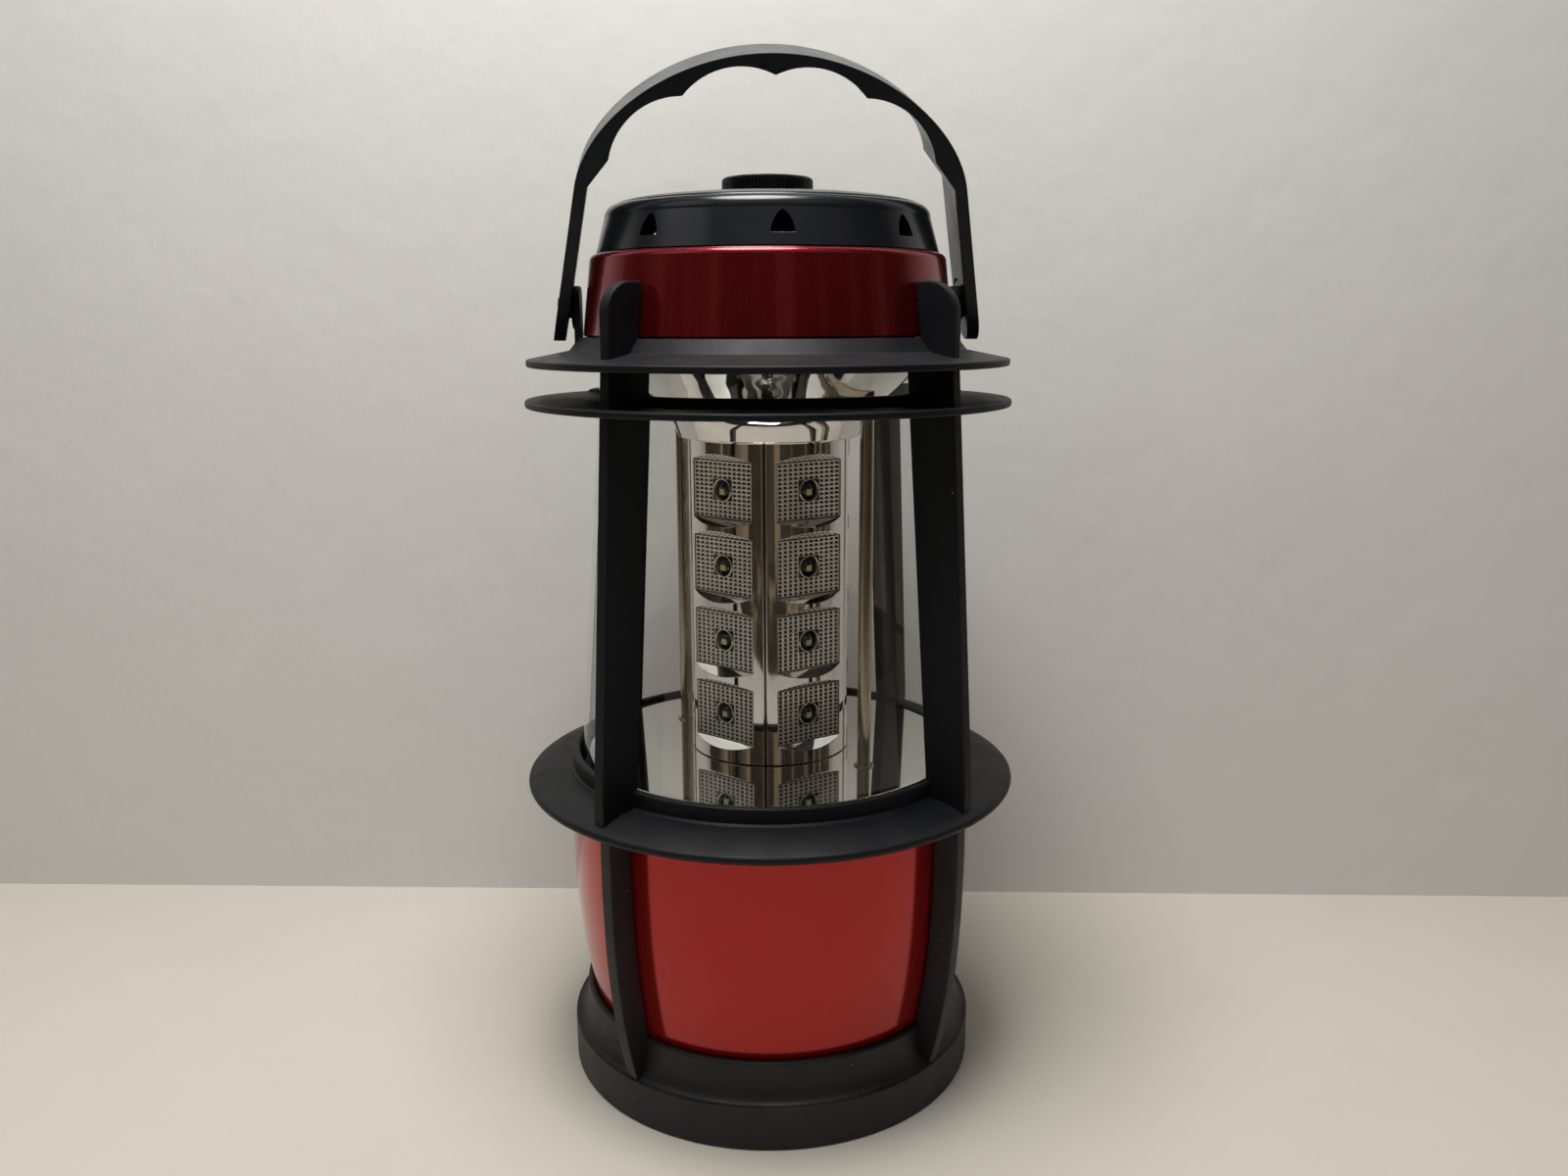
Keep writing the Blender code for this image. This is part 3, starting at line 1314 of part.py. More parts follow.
def bail_handle(black):
    """Arched strap with finger scallops and round ends, leaning forward on an empty at its pivot axis."""
    outside = strap_outside()
    inside = strap_inside()
    outline = outside + [(0, BAIL_RISE)] + mirrored(outside) + mirrored(inside[1:]) + inside
    half = BAIL_DEPTH / 2
    bail = piece(prism(outline, -half, half), "bail_handle", black)
    cut(bail, tail_corners())
    for turn in (0, math.pi):
        cut(bail, moved(pivot_room(), about_z(turn) @ LAID_ALONG_X))
    axis = bpy.data.objects.new("bail_axis", None)
    bpy.context.scene.collection.objects.link(axis)
    axis.location = (0, 0, pivot_z)
    axis.rotation_euler = (BAIL_LEAN, 0, 0)
    bail.parent = axis


def main():
    clear_scene()
    black = paint("black_plastic", BLACK_PLASTIC, MATT)
    gloss_black = paint("gloss_black_plastic", GLOSS_BLACK, GLOSSY)
    red_gloss = paint("red_gloss", RED_GLOSS, GLOSSY)
    red_metallic = paint("red_metallic", RED_METALLIC, GLOSSY, metallic=0.6)
    clear = paint("clear_plastic", CLEAR, POLISHED, transmission=0.9)
    chrome = paint("chrome", CHROME, POLISHED, metallic=1.0)
    nickel = paint("nickel", NICKEL, GLOSSY, metallic=1.0)
    rubber = paint("rubber", RUBBER, DULL)
    white = paint("white_plastic", WHITE_PLASTIC, MATT)
    green = paint("circuit_board", BOARD_GREEN, SATIN)
    grey = paint("cell_jacket", CELL_GREY, SATIN)
    brass = paint("brass", BRASS, SATIN, metallic=1.0)
    wire = paint("lead_wire", COPPER_RED, MATT)
    base_pieces(black, red_gloss, white, grey, nickel, brass, green, rubber)
    base_deck(black)
    bottom_mirror(chrome)
    globe(clear)
    globe_seals(rubber)
    light_tower(chrome, clear, green, white)
    tie_rods(nickel, nickel, wire)
    top_reflector(chrome)
    top_pieces(black, gloss_black, red_metallic, green, grey, nickel)


main()
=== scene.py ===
"""Looks of the battery camping lantern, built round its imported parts.

Metres, +Z up, -Y is the front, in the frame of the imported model. Finer meshes stand for the parts that
show, every surface gets a procedural finish, and the camera stands where the photograph was taken.
"""

import json
import math

import bmesh
import bpy
from mathutils import Matrix, Vector


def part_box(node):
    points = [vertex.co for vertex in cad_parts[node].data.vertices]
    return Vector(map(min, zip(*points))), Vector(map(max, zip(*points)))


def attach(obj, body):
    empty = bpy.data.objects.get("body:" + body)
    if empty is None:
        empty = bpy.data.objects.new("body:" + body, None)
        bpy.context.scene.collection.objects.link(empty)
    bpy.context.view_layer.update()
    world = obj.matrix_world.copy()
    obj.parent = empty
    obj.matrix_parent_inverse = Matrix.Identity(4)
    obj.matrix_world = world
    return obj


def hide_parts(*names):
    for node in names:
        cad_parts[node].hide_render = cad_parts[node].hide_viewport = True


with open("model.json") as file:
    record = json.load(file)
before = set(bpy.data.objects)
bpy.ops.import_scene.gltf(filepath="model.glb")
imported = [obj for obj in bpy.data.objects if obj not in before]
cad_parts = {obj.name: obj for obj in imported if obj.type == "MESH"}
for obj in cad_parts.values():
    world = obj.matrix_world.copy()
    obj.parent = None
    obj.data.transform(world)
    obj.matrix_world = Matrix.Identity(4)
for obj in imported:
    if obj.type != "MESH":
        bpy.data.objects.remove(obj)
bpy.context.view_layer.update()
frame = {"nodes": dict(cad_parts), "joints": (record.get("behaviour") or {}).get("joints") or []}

# Facets round circles and straight steps along curves
ROUND_FACETS = 160
SMALL_FACETS = 40
FILLET_STEPS = 4
CURVE_STEPS = 18
EDGE_STEPS = 2
SHARP_ANGLE = math.radians(33)
SAME_POINT = 1e-6

# Clearances
SEAT_GAP = 0.0003
SLIDE_GAP = 0.0005

# Foot ring, ribs and barrel
FOOT_WALL_HEIGHT = 0.0134
FOOT_RING_WIDTH = 0.0066
FOOT_SOFT_EDGE = 0.0008
FOOT_CRISP_EDGE = 0.0003
FOOT_LIP_HEIGHT = 0.0252
FOOT_LIP_WALL = 0.0013
FOOT_LIP_BULGE = 0.0004
FOOT_BEAD_START = math.radians(-54)
FOOT_SLOPE_END = math.radians(183.6)
FOOT_STEP = 0.0047
FOOT_LEDGE_WIDTH = 0.0060
FOOT_LEDGE_LOW = 0.0033
FOOT_LEDGE_HIGH = 0.0063
RIB_COUNT = 4
RIB_THICKNESS = 0.0040
RIB_PROUD = 0.0087
RIB_EDGE = 0.0005
BARREL_SWELL = 0.0065
BARREL_POWER = 2.8
BARREL_START = 0.0135
SHELL_WALL = 0.0020
SHELL_EDGE = 0.0006

# Battery cover
COVER_THICKNESS = 0.0033
COVER_EDGE = 0.0007
COVER_COLLAR_RADIUS = 0.0477
COVER_COLLAR_WALL = 0.0018
COVER_GRIP_LENGTH = 0.0420
COVER_GRIP_WIDTH = 0.0140
COVER_GRIP_DEPTH = 0.0019
COVER_GRIP_BAR = 0.0090
COVER_GRIP_EDGE = 0.0012

# Mid flange, posts, brims, fins and ears
SHELL_SHOULDER = 0.0007
FLANGE_RIM = 0.0028
FLANGE_CROWN = 0.0029
FLANGE_NOSE_END = math.radians(60)
COLLAR_RISE = 0.0051
COLLAR_EDGE = 0.0008
COLLAR_ROOT = 0.0006
POST_THICKNESS = 0.0038
POST_EDGE = 0.0004
POST_INSET = 0.0025
POST_TOP_PROUD = 0.0162
POST_GLOBE_GAP = 0.0012
BRIM_OVERHANG = 0.0215
BRIM_RIM = 0.0020
BRIM_EDGE = 0.0006
BRIM_THICKNESS = 0.0045
BRIM_CONE_FOOT = 0.0030
BRIM_ROOT = 0.0012
BRIM_COLLAR_WALL = 0.0021
BRIM_COLLAR_EDGE = 0.0004
LOWER_BRIM_DROP = 0.0116
LOWER_BRIM_EXTRA = 0.0008
LOWER_BRIM_COLLAR_WALL = 0.0022
LOWER_BRIM_COLLAR_RISE = 0.0026
LOWER_BRIM_ROOT = 0.0020
HOUSING_SHOULDER = 0.0013
FIN_PROUD = 0.0115
FIN_CORNER = 0.0085
FIN_EDGE = 0.0007
EAR_THICKNESS = 0.0017
EAR_WIDTH = 0.0150
EAR_HEIGHT = 0.0147
EAR_CORNER = 0.0040
EAR_EDGE = 0.0003

# Globe and light tower
GLOBE_TAPER = 0.0094
GLOBE_WALL = 0.0015
GLOBE_EDGE = 0.0005
MIRROR_EDGE = 0.0004
TOWER_RADIUS = 0.0245
TOWER_COLUMNS = 5
TOWER_ROWS = 4
TOWER_TURN = math.radians(10)
TOWER_END_BAND = 0.0030
POCKET_DEPTH = 0.0029
POCKET_WEB = 0.0014
POCKET_SLOPE = 0.71
POCKET_EDGE = 0.00022
SEGMENT_BACK = 0.0027
SEGMENT_SIDE_GAP = math.radians(0.4)
SEGMENT_EDGE = 0.0006
PIT_COLUMNS = 12
PIT_ROWS = 13
PIT_DEPTH = 0.00016
PIT_FLOOR = 0.58
PANE_THICKNESS = 0.0016
PANE_FLAT_RING = 0.0038
LED_RADIUS = 0.0025
LED_LENGTH = 0.0091
LED_PROUD = 0.0002
LED_FLANGE = 0.0003
RIM_RADIUS = 0.00024
RIM_GAP = 0.00055
CHIP_SIZE = 0.0017
CHIP_DROP = 0.0005
CHIP_PROUD = 0.00012
STRIP_THICKNESS = 0.0012
ROD_RING_RADIUS = 0.0030
ROD_RING_HEIGHT = 0.0005
ROD_BORE = 0.0013

# Bright bowl over the tower
BOWL_LIP = 0.0006
BOWL_WALL = 0.0012
BOWL_FOOT_WIDTH = 0.0022
BOWL_FOOT_HEIGHT = 0.0036
BOWL_FOOT_FLARE = 0.0013
BOWL_RIM_HEIGHT = 0.0037
BOWL_CURVE = 0.8
BOWL_EYE = 0.0060

# Red band, cap and knob
HOUSING_FLOOR = 0.0020
HOUSING_WALL = 0.0020
BAND_HEIGHT = 0.0232
BAND_TAPER = 0.0023
BAND_FILLET = 0.0021
BAND_EDGE = 0.0004
CAP_SIDE_HEIGHT = 0.0096
CAP_SIDE_DRAFT = 0.0026
CAP_CORNER_WIDTH = 0.0031
CAP_CORNER_HEIGHT = 0.0036
CAP_CROWN = 0.0033
CAP_WALL = 0.0020
CAP_EYE = 0.0049
VENT_COUNT = 8
VENT_WIDTH = 0.0064
VENT_HEIGHT = 0.0058
VENT_SILL = 0.0032
VENT_POWER = 1.6
VENT_BLUNT = 0.65
VENT_REACH = 0.0100
VENT_EDGE = 0.00025
KNOB_HEIGHT = 0.0047
KNOB_CROWN = 0.0012
KNOB_STEM = 0.0046
KNOB_BORE = 0.0033
KNOB_ROOF = 0.0016
KNURL_COUNT = 78
KNURL_DEPTH = 0.00065

# Bail
PIVOT_PIN_RADIUS = 0.0030
PIVOT_BOSS_RADIUS = 0.0061
PIVOT_BOSS_LENGTH = 0.0008
PIVOT_EDGE = 0.0004
BAIL_THICKNESS = 0.0036
BAIL_DEPTH = 0.0190
BAIL_SHOULDER = 0.0365
BAIL_RISE = 0.0716
BAIL_LEAN = math.radians(18)
BAIL_EDGE = 0.0006
ARM_LEAN_IN = math.radians(10.8)
SCALLOPS_PER_SIDE = 2
SCALLOP_RADIUS = 0.0206
SCALLOP_THIN = 0.0027
SCALLOP_DROP = 0.0013
SCALLOP_SPAN = math.radians(21.3)
SCALLOP_END = math.radians(11)

# Finishes
# Pale grey put on faces that look up: partly dust, partly painted light from above
DUST_AND_TOP_LIGHT = (0.150, 0.138, 0.120)
SPECK_COLOUR = (0.420, 0.410, 0.390)
SPECK_CORE = 0.6
DARK_TONE = 0.75
GLOBE_IOR = 1.55

# Most of a noise lies between these values
NOISE_LOW = 0.3
NOISE_HIGH = 0.7

# Camera, wall, room and lamps
CAMERA_PLACE = (-0.0314, -0.3870, 0.2327)
CAMERA_TURN = math.radians(5.3)
CAMERA_PITCH = math.radians(11.83)
CAMERA_ROLL = math.radians(-0.17)
CAMERA_LENS = 29.25
CAMERA_SENSOR = 36.0
WALL_DISTANCE = 0.107
WALL_TURN = math.radians(-6.8)
WALL_HEIGHT = 1.6
STAGE_SIZE = 3.0
ROOM_DEPTH = 0.9
ROOM_WRAP = math.radians(112)
ROOM_HEIGHT = 1.3
ROOM_STREAK = 0.22
ROOM_STREAK_SQUEEZE = 0.12
ROOM_STREAK_LOW = 0.50
ROOM_STREAK_HIGH = 0.62
ROOM_GLOW_LOW = 0.520
ROOM_GLOW_HIGH = 0.975
ROOM_GLOW_NEAR = 0.360
ROOM_GLOW_FAR = 0.855
ROOM_FLOOR = 0.004
TABLE_FRONT = 0.47
CEILING_PLACE = (-0.06, -0.12, 0.75)
CEILING_AIM = (0, 0.05, 0.1)
CEILING_SIZE = 0.32
CEILING_WATTS = 4.7
CEILING_COLOUR = (1.0, 0.985, 0.955)
WINDOW_PLACE = (-0.75, -0.30, 0.75)
WINDOW_AIM = (0, 0, 0.18)
WINDOW_SIZE = 0.60
WINDOW_WATTS = 0.6
WINDOW_COLOUR = (0.94, 0.97, 1.0)
SKY_COLOUR = (1.0, 0.97, 0.93)
SKY_STRENGTH = 0.18


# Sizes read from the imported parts


def reach(node):
    """Radius, lowest and highest level of a part that is round about the lantern's axis."""
    low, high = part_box(node)
    return (high.x - low.x) / 2, low.z, high.z


foot_radius, floor_level, rib_top = reach("lower_guard")
shell_radius, shell_bottom, shell_top = reach("base_shell")
cover_radius, cover_bottom, cover_collar_top = reach("battery_cover")
flange_radius, guard_bottom, fin_top = reach("upper_guard")
globe_radius, globe_bottom, globe_top = reach("globe")
mirror_radius, mirror_bottom, mirror_top = reach("bottom_mirror")
bowl_radius, bowl_bottom, bowl_top = reach("top_reflector")
band_radius, housing_bottom, housing_top = reach("top_housing")
cap_radius, spigot_bottom, cap_top = reach("vent_cap")
knob_radius, stem_bottom, knob_top = reach("dimmer_knob")
tower_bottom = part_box("reflector_segment_1")[0].z
tower_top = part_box("reflector_segment_1")[1].z
hinges = {joint["name"]: joint for joint in frame["joints"]}
pivot_level = hinges["bail_hinge"]["pos_m"][2]

# Sizes that follow
foot_lip_radius = foot_radius - FOOT_STEP
foot_pocket = foot_lip_radius - FOOT_LIP_WALL
collar_radius = shell_radius - SHELL_SHOULDER
collar_inner = globe_radius + SLIDE_GAP
flange_crown = guard_bottom + FLANGE_RIM + FLANGE_CROWN
collar_top = flange_crown + COLLAR_RISE
globe_top_radius = globe_radius - GLOBE_TAPER
band_bottom = housing_top - BAND_HEIGHT
housing_skirt_radius = band_radius - HOUSING_SHOULDER
brim_ledge = housing_bottom - SEAT_GAP
brim_bottom = brim_ledge - BRIM_THICKNESS
brim_collar_top = band_bottom - SEAT_GAP
brim_collar_inner = housing_skirt_radius + SLIDE_GAP
brim_collar_radius = brim_collar_inner + BRIM_COLLAR_WALL
brim_radius = globe_top_radius + BRIM_OVERHANG
brim_inner = globe_top_radius + POST_GLOBE_GAP / 2
lower_brim_bottom = brim_bottom - LOWER_BRIM_DROP
lower_brim_radius = brim_radius + LOWER_BRIM_EXTRA
post_foot_radius = flange_radius - POST_INSET
post_top_radius = globe_top_radius + POST_TOP_PROUD
fin_radius = band_radius + FIN_PROUD
ear_inner = band_radius + SLIDE_GAP
ear_outer = ear_inner + EAR_THICKNESS
boss_face = ear_outer + PIVOT_BOSS_LENGTH
arm_inner = boss_face + SLIDE_GAP
arm_outer = arm_inner + BAIL_THICKNESS
row_pitch = (tower_top - tower_bottom - 2 * TOWER_END_BAND) / TOWER_ROWS
pane_plane = TOWER_RADIUS - POCKET_DEPTH
segment_back = pane_plane - SEGMENT_BACK
pocket_half_width = math.sqrt(TOWER_RADIUS**2 - pane_plane**2) - SEAT_GAP
pane_half_height = (row_pitch - POCKET_WEB) / 2 - POCKET_DEPTH * POCKET_SLOPE
strip_front = pane_plane + LED_PROUD - LED_LENGTH
column_half_angle = math.pi / TOWER_COLUMNS
cap_bottom = housing_top + SEAT_GAP
cap_shoulder = cap_bottom + CAP_SIDE_HEIGHT
cap_crown_edge = cap_shoulder + CAP_CORNER_HEIGHT
knob_bottom = knob_top - KNOB_HEIGHT


# Shape helpers


def levels(low, high, steps=CURVE_STEPS):
    """Even steps from one value to another, both included."""
    return [low + (high - low) * step / steps for step in range(steps + 1)]


def mirrored(points):
    return [(-x, z) for x, z in reversed(points)]


def arc(centre, radii, start, end, steps=CURVE_STEPS):
    """Points of an elliptic arc, from one angle to another."""
    points = []
    for angle in levels(start, end, steps):
        points.append((centre[0] + radii[0] * math.cos(angle), centre[1] + radii[1] * math.sin(angle)))
    return points


def curve(start, end, rise):
    """Points from one place to another whose height follows a rise from 0 to 1."""
    points = []
    for share in levels(0, 1):
        height = start[1] + (end[1] - start[1]) * rise(share)
        points.append((start[0] + (end[0] - start[0]) * share, height))
    return points


def filleted(corners):
    """Closed outline through (x, z) corners, and (x, z, fillet) where a corner is rounded."""
    points = []
    for index, (x, z, *rounding) in enumerate(corners):
        if not rounding:
            points.append((x, z))
            continue
        fillet = rounding[0]
        here = Vector((x, z))
        before = (Vector(corners[index - 1][:2]) - here).normalized()
        after = (Vector(corners[(index + 1) % len(corners)][:2]) - here).normalized()
        half = before.angle(after) / 2
        centre = here + (before + after).normalized() * fillet / math.sin(half)
        start = here + before * fillet / math.tan(half) - centre
        sweep = -start.angle_signed(here + after * fillet / math.tan(half) - centre)
        turn = math.atan2(start.y, start.x)
        points += arc(centre, (fillet, fillet), turn, turn + sweep, FILLET_STEPS)
    return points


def turned(outline, facets=ROUND_FACETS):
    """Spin a closed outline of (radius, height) points once round Z."""
    bm = bmesh.new()
    points = [bm.verts.new((radius, 0, height)) for radius, height in outline]
    edges = []
    for first, second in zip(points, points[1:] + points[:1]):
        if first.co.x or second.co.x:
            edges.append(bm.edges.new((first, second)))
    bmesh.ops.spin(
        bm, geom=points + edges, axis=(0, 0, 1), cent=(0, 0, 0),
        angle=2 * math.pi, steps=facets, use_merge=True,
    )
    return bm


def prism(outline, low, high, edge=0.0):
    """Extrude an (x, z) outline along Y, with its sharp edges bevelled."""
    bm = bmesh.new()
    face = bm.faces.new([bm.verts.new((x, low, z)) for x, z in outline])
    push(bm, bmesh.ops.extrude_face_region(bm, geom=[face]), (0, high - low, 0))
    bmesh.ops.recalc_face_normals(bm, faces=bm.faces)
    if edge:
        bevel(bm, edge)
    return bm


def plate(outline, thickness, edge=0.0):
    """Extrude an (x, z) outline to both sides of the XZ plane."""
    return prism(outline, -thickness / 2, thickness / 2, edge)


def push(bm, grown, offset):
    """Move the points that an extrusion has made."""
    points = [item for item in grown["geom"] if isinstance(item, bmesh.types.BMVert)]
    bmesh.ops.translate(bm, verts=points, vec=offset)


def bridge(bm, first, second):
    """Faces between two rings of points."""
    for index, point in enumerate(first):
        after = (index + 1) % len(first)
        bm.faces.new((point, first[after], second[after], second[index]))


def bevel(bm, width):
    sharp = [item for item in bm.edges if item.calc_face_angle() > SHARP_ANGLE]
    bmesh.ops.bevel(
        bm, geom=sharp, offset=width, segments=EDGE_STEPS, profile=0.5, affect="EDGES", clamp_overlap=True
    )


def soften(piece, width):
    """Round off the sharp edges of a finished shape."""
    soft = piece.modifiers.new("soft_edges", "BEVEL")
    soft.width = width
    soft.segments = EDGE_STEPS
    soft.limit_method = "ANGLE"
    soft.angle_limit = SHARP_ANGLE


def block(low, high, edge=0.0):
    outline = [(low[0], low[2]), (high[0], low[2]), (high[0], high[2]), (low[0], high[2])]
    return prism(outline, low[1], high[1], edge)


def rod(radius, low, high, facets=SMALL_FACETS):
    return turned([(0, low), (radius, low), (radius, high), (0, high)], facets)


def moved(bm, matrix):
    bmesh.ops.transform(bm, matrix=matrix, verts=bm.verts)
    return bm


def about_z(angle):
    return Matrix.Rotation(angle, 4, "Z")


def at(x, y, z=0.0):
    return Matrix.Translation(Vector((x, y, z)))


# Turns Z to X, for what lies along the pivot or points out of the tower
LAID_ALONG_X = Matrix.Rotation(math.pi / 2, 4, "Y")

# Turns Y to Z, for what is extruded upwards
STOOD_UP = Matrix.Rotation(math.pi / 2, 4, "X")


def gathered(parts):
    """Put separate bodies into one bmesh."""
    whole = bmesh.new()
    for part in parts:
        scratch = bpy.data.meshes.new("scratch")
        part.to_mesh(scratch)
        part.free()
        whole.from_mesh(scratch)
        bpy.data.meshes.remove(scratch)
    return whole


def round_the_axis(count, start=0.0):
    return [start + 2 * math.pi * index / count for index in range(count)]


def spread(make, angles):
    """Copies of a shape, turned to each of the angles."""
    return gathered([moved(make(), about_z(angle)) for angle in angles])


def rib_angles():
    return round_the_axis(RIB_COUNT, math.pi / RIB_COUNT)


def placed(name, data):
    """Put a mesh, a lamp or a camera into the scene."""
    made = bpy.data.objects.new(name, data)
    bpy.context.scene.collection.objects.link(made)
    return made


def solid(bm, name):
    """Turn a bmesh into an object with outward faces."""
    bmesh.ops.remove_doubles(bm, verts=bm.verts, dist=SAME_POINT)
    bmesh.ops.recalc_face_normals(bm, faces=bm.faces)
    mesh = bpy.data.meshes.new(name)
    bm.to_mesh(mesh)
    bm.free()
    return placed(name, mesh)


def boolean(target, tool_bm, operation):
    """Join a shape to an object, or cut it away."""
    tool = solid(tool_bm, "tool")
    modifier = target.modifiers.new(operation, "BOOLEAN")
    modifier.operation = operation
    modifier.solver = "EXACT"
    modifier.object = tool
    depsgraph = bpy.context.evaluated_depsgraph_get()
    shaped = bpy.data.meshes.new_from_object(target.evaluated_get(depsgraph))
    target.modifiers.clear()
    target.data = shaped
    bpy.data.objects.remove(tool)


def join(target, *parts):
    for part in parts:
        boolean(target, part, "UNION")


def cut(target, *parts):
    for part in parts:
        boolean(target, part, "DIFFERENCE")


def dress(piece, nodes, body, slot, *materials):
    """Finish a piece: smooth shading, its materials, the body it rides on and the parts it stands for."""
    piece.data.shade_smooth()
    piece.data.set_sharp_from_angle(angle=SHARP_ANGLE)
    even = piece.modifiers.new("even_shading", "WEIGHTED_NORMAL")
    even.keep_sharp = True
    for material in materials:
        piece.data.materials.append(material)
    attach(piece, body)
    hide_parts(*nodes)


def stand_in(bm, node, slot, *materials, ending="fine"):
    """Finish a shape that stands for one part of the lantern's fixed body."""
    dress(solid(bm, f"{node}_{ending}"), [node], "lantern", slot, *materials)


# Material helpers


SOCKETS = {
    "metallic": "Metallic",
    "specular": "Specular IOR Level",
    "coat": "Coat Weight",
    "coat_roughness": "Coat Roughness",
}


def surface(name, colour, roughness, **sockets):
    """A Principled material with its plain values set. Returns the material, its tree and its shader."""
    made = bpy.data.materials.new(name)
    made.use_nodes = True
    shader = made.node_tree.nodes["Principled BSDF"]
    shader.inputs["Base Color"].default_value = (*colour, 1.0)
    shader.inputs["Roughness"].default_value = roughness
    for socket, value in sockets.items():
        shader.inputs[SOCKETS[socket]].default_value = value
    made.diffuse_color = (*colour, 1.0)
    return made, made.node_tree, shader


def feed(tree, target, socket, value):
    """Give a node's input its value: another node's output, the three numbers of a colour, or one number."""
    if isinstance(value, bpy.types.NodeSocket):
        tree.links.new(value, target.inputs[socket])
    elif isinstance(value, tuple):
        target.inputs[socket].default_value = (*value, 1.0)
    else:
        target.inputs[socket].default_value = value


def shader_node(tree, kind, inputs, **settings):
    """A new node with its settings and inputs."""
    made = tree.nodes.new(f"ShaderNode{kind}")
    for name, value in settings.items():
        setattr(made, name, value)
    for socket, value in inputs.items():
        feed(tree, made, socket, value)
    return made


def place(tree):
    """Places in metres, the same on every piece."""
    return tree.nodes.new("ShaderNodeTexCoord").outputs["Object"]


def geometry(tree, output):
    return tree.nodes.new("ShaderNodeNewGeometry").outputs[output]


def noise(tree, size, detail=2.0, where=None):
    """Cloudy values from 0 to 1, with spots of about the given size."""
    inputs = {"Vector": place(tree) if where is None else where, "Scale": 1.0 / size, "Detail": detail}
    return shader_node(tree, "TexNoise", inputs).outputs[0]


def mapped(tree, value, low, high, to_low=0.0, to_high=1.0):
    """Carry a value over from one range to another, and keep it inside."""
    inputs = dict(enumerate((value, low, high, to_low, to_high)))
    return shader_node(tree, "MapRange", inputs).outputs[0]


def times(tree, first, second):
    return shader_node(tree, "Math", {0: first, 1: second}, operation="MULTIPLY").outputs[0]


def mixed(tree, share, first, second):
    """Colour between two others. Either may be a socket or three numbers."""
    return shader_node(tree, "Mix", {"Factor": share, 6: first, 7: second}, data_type="RGBA").outputs[2]


def blended(tree, share, first, second):
    """Show a blend of two shaders: the first where the share is 0, the second where it is 1."""
    blend = shader_node(tree, "MixShader", {0: share, 1: first, 2: second})
    feed(tree, tree.nodes["Material Output"], "Surface", blend.outputs[0])


def bump(tree, shader, height, depth):
    made = shader_node(tree, "Bump", {"Height": height, "Strength": 1.0, "Distance": depth})
    feed(tree, shader, "Normal", made.outputs["Normal"])


def tint(tree, shader, share, first, second):
    """Base colour between two others."""
    feed(tree, shader, "Base Color", mixed(tree, share, first, second))


def sheen(tree, shader, size, rough, detail=4.0):
    """Roughness that drifts between two values, in spots of about the given size."""
    feed(tree, shader, "Roughness", mapped(tree, noise(tree, size, detail), NOISE_LOW, NOISE_HIGH, *rough))


def upward(tree, low, high):
    """How far a surface faces up: 0 at the low value of its normal's height, 1 at the high one."""
    facing = shader_node(tree, "SeparateXYZ", {0: geometry(tree, "Normal")})
    return mapped(tree, facing.outputs["Z"], low, high)


def loose_grid(tree, pitch):
    """Distance from the middles of the cells of a loose grid, and two random values of each cell."""
    grid = shader_node(tree, "TexVoronoi", {"Vector": place(tree), "Scale": 1.0 / pitch})
    chances = shader_node(tree, "SeparateColor", {0: grid.outputs["Color"]}).outputs
    return grid.outputs["Distance"], chances[0], chances[1]


def specks(tree, pitch, size, share):
    """Sparse round specks: one in some of the cells of a loose grid."""
    distance, chance, _ = loose_grid(tree, pitch)
    inside = mapped(tree, distance, size / pitch, SPECK_CORE * size / pitch)
    picked = shader_node(tree, "Math", {0: chance, 1: share}, operation="LESS_THAN")
    return times(tree, inside, picked.outputs[0])


# Materials


def moulded_black(name, colour, specular, rough, grain_size, grain_depth, dust_and_top_light_share):
    """Moulded plastic: fine grain, uneven sheen, a few pale specks, and paler patches where it faces up,
    partly dust and partly painted light from above.
    """
    made, tree, shader = surface(name, colour, rough[0], specular=specular)
    sheen(tree, shader, 0.012, rough)
    # Paler patches on faces that look up: partly dust, partly painted light from above
    cloud = mapped(tree, noise(tree, 0.018, 5.0), low=0.35, high=NOISE_HIGH, to_high=dust_and_top_light_share)
    dust_and_top_light = times(tree, upward(tree, low=0.25, high=0.95), cloud)
    toned = mixed(tree, noise(tree, 0.006, 3.0), tuple(DARK_TONE * part for part in colour), colour)
    dust_and_top_lit = mixed(tree, dust_and_top_light, toned, DUST_AND_TOP_LIGHT)
    tint(tree, shader, specks(tree, pitch=0.009, size=0.00022, share=0.16), dust_and_top_lit, SPECK_COLOUR)
    bump(tree, shader, noise(tree, grain_size, 3.0), grain_depth)
    return made


def black_plastic():
    return moulded_black(
        "black_moulding", (0.005, 0.006, 0.009), specular=0.24, rough=(0.46, 0.58),
        grain_size=0.0008, grain_depth=0.00004, dust_and_top_light_share=0.06,
    )


def lit_knob_plastic():
    # Paler than the other black plastic: painted light on the knob's side, which lets its knurl show
    return moulded_black(
        "black_knob_painted_light", (0.030, 0.035, 0.047), specular=0.40, rough=(0.30, 0.40),
        grain_size=0.0011, grain_depth=0.000008, dust_and_top_light_share=0.05,
    )


def grained_plastic():
    return moulded_black(
        "black_grained", (0.012, 0.012, 0.014), specular=0.36, rough=(0.44, 0.56),
        grain_size=0.0007, grain_depth=0.00005, dust_and_top_light_share=0.12,
    )


def strap_plastic():
    return moulded_black(
        "black_strap", (0.008, 0.012, 0.018), specular=0.28, rough=(0.26, 0.36),
        grain_size=0.0011, grain_depth=0.000008, dust_and_top_light_share=0.05,
    )


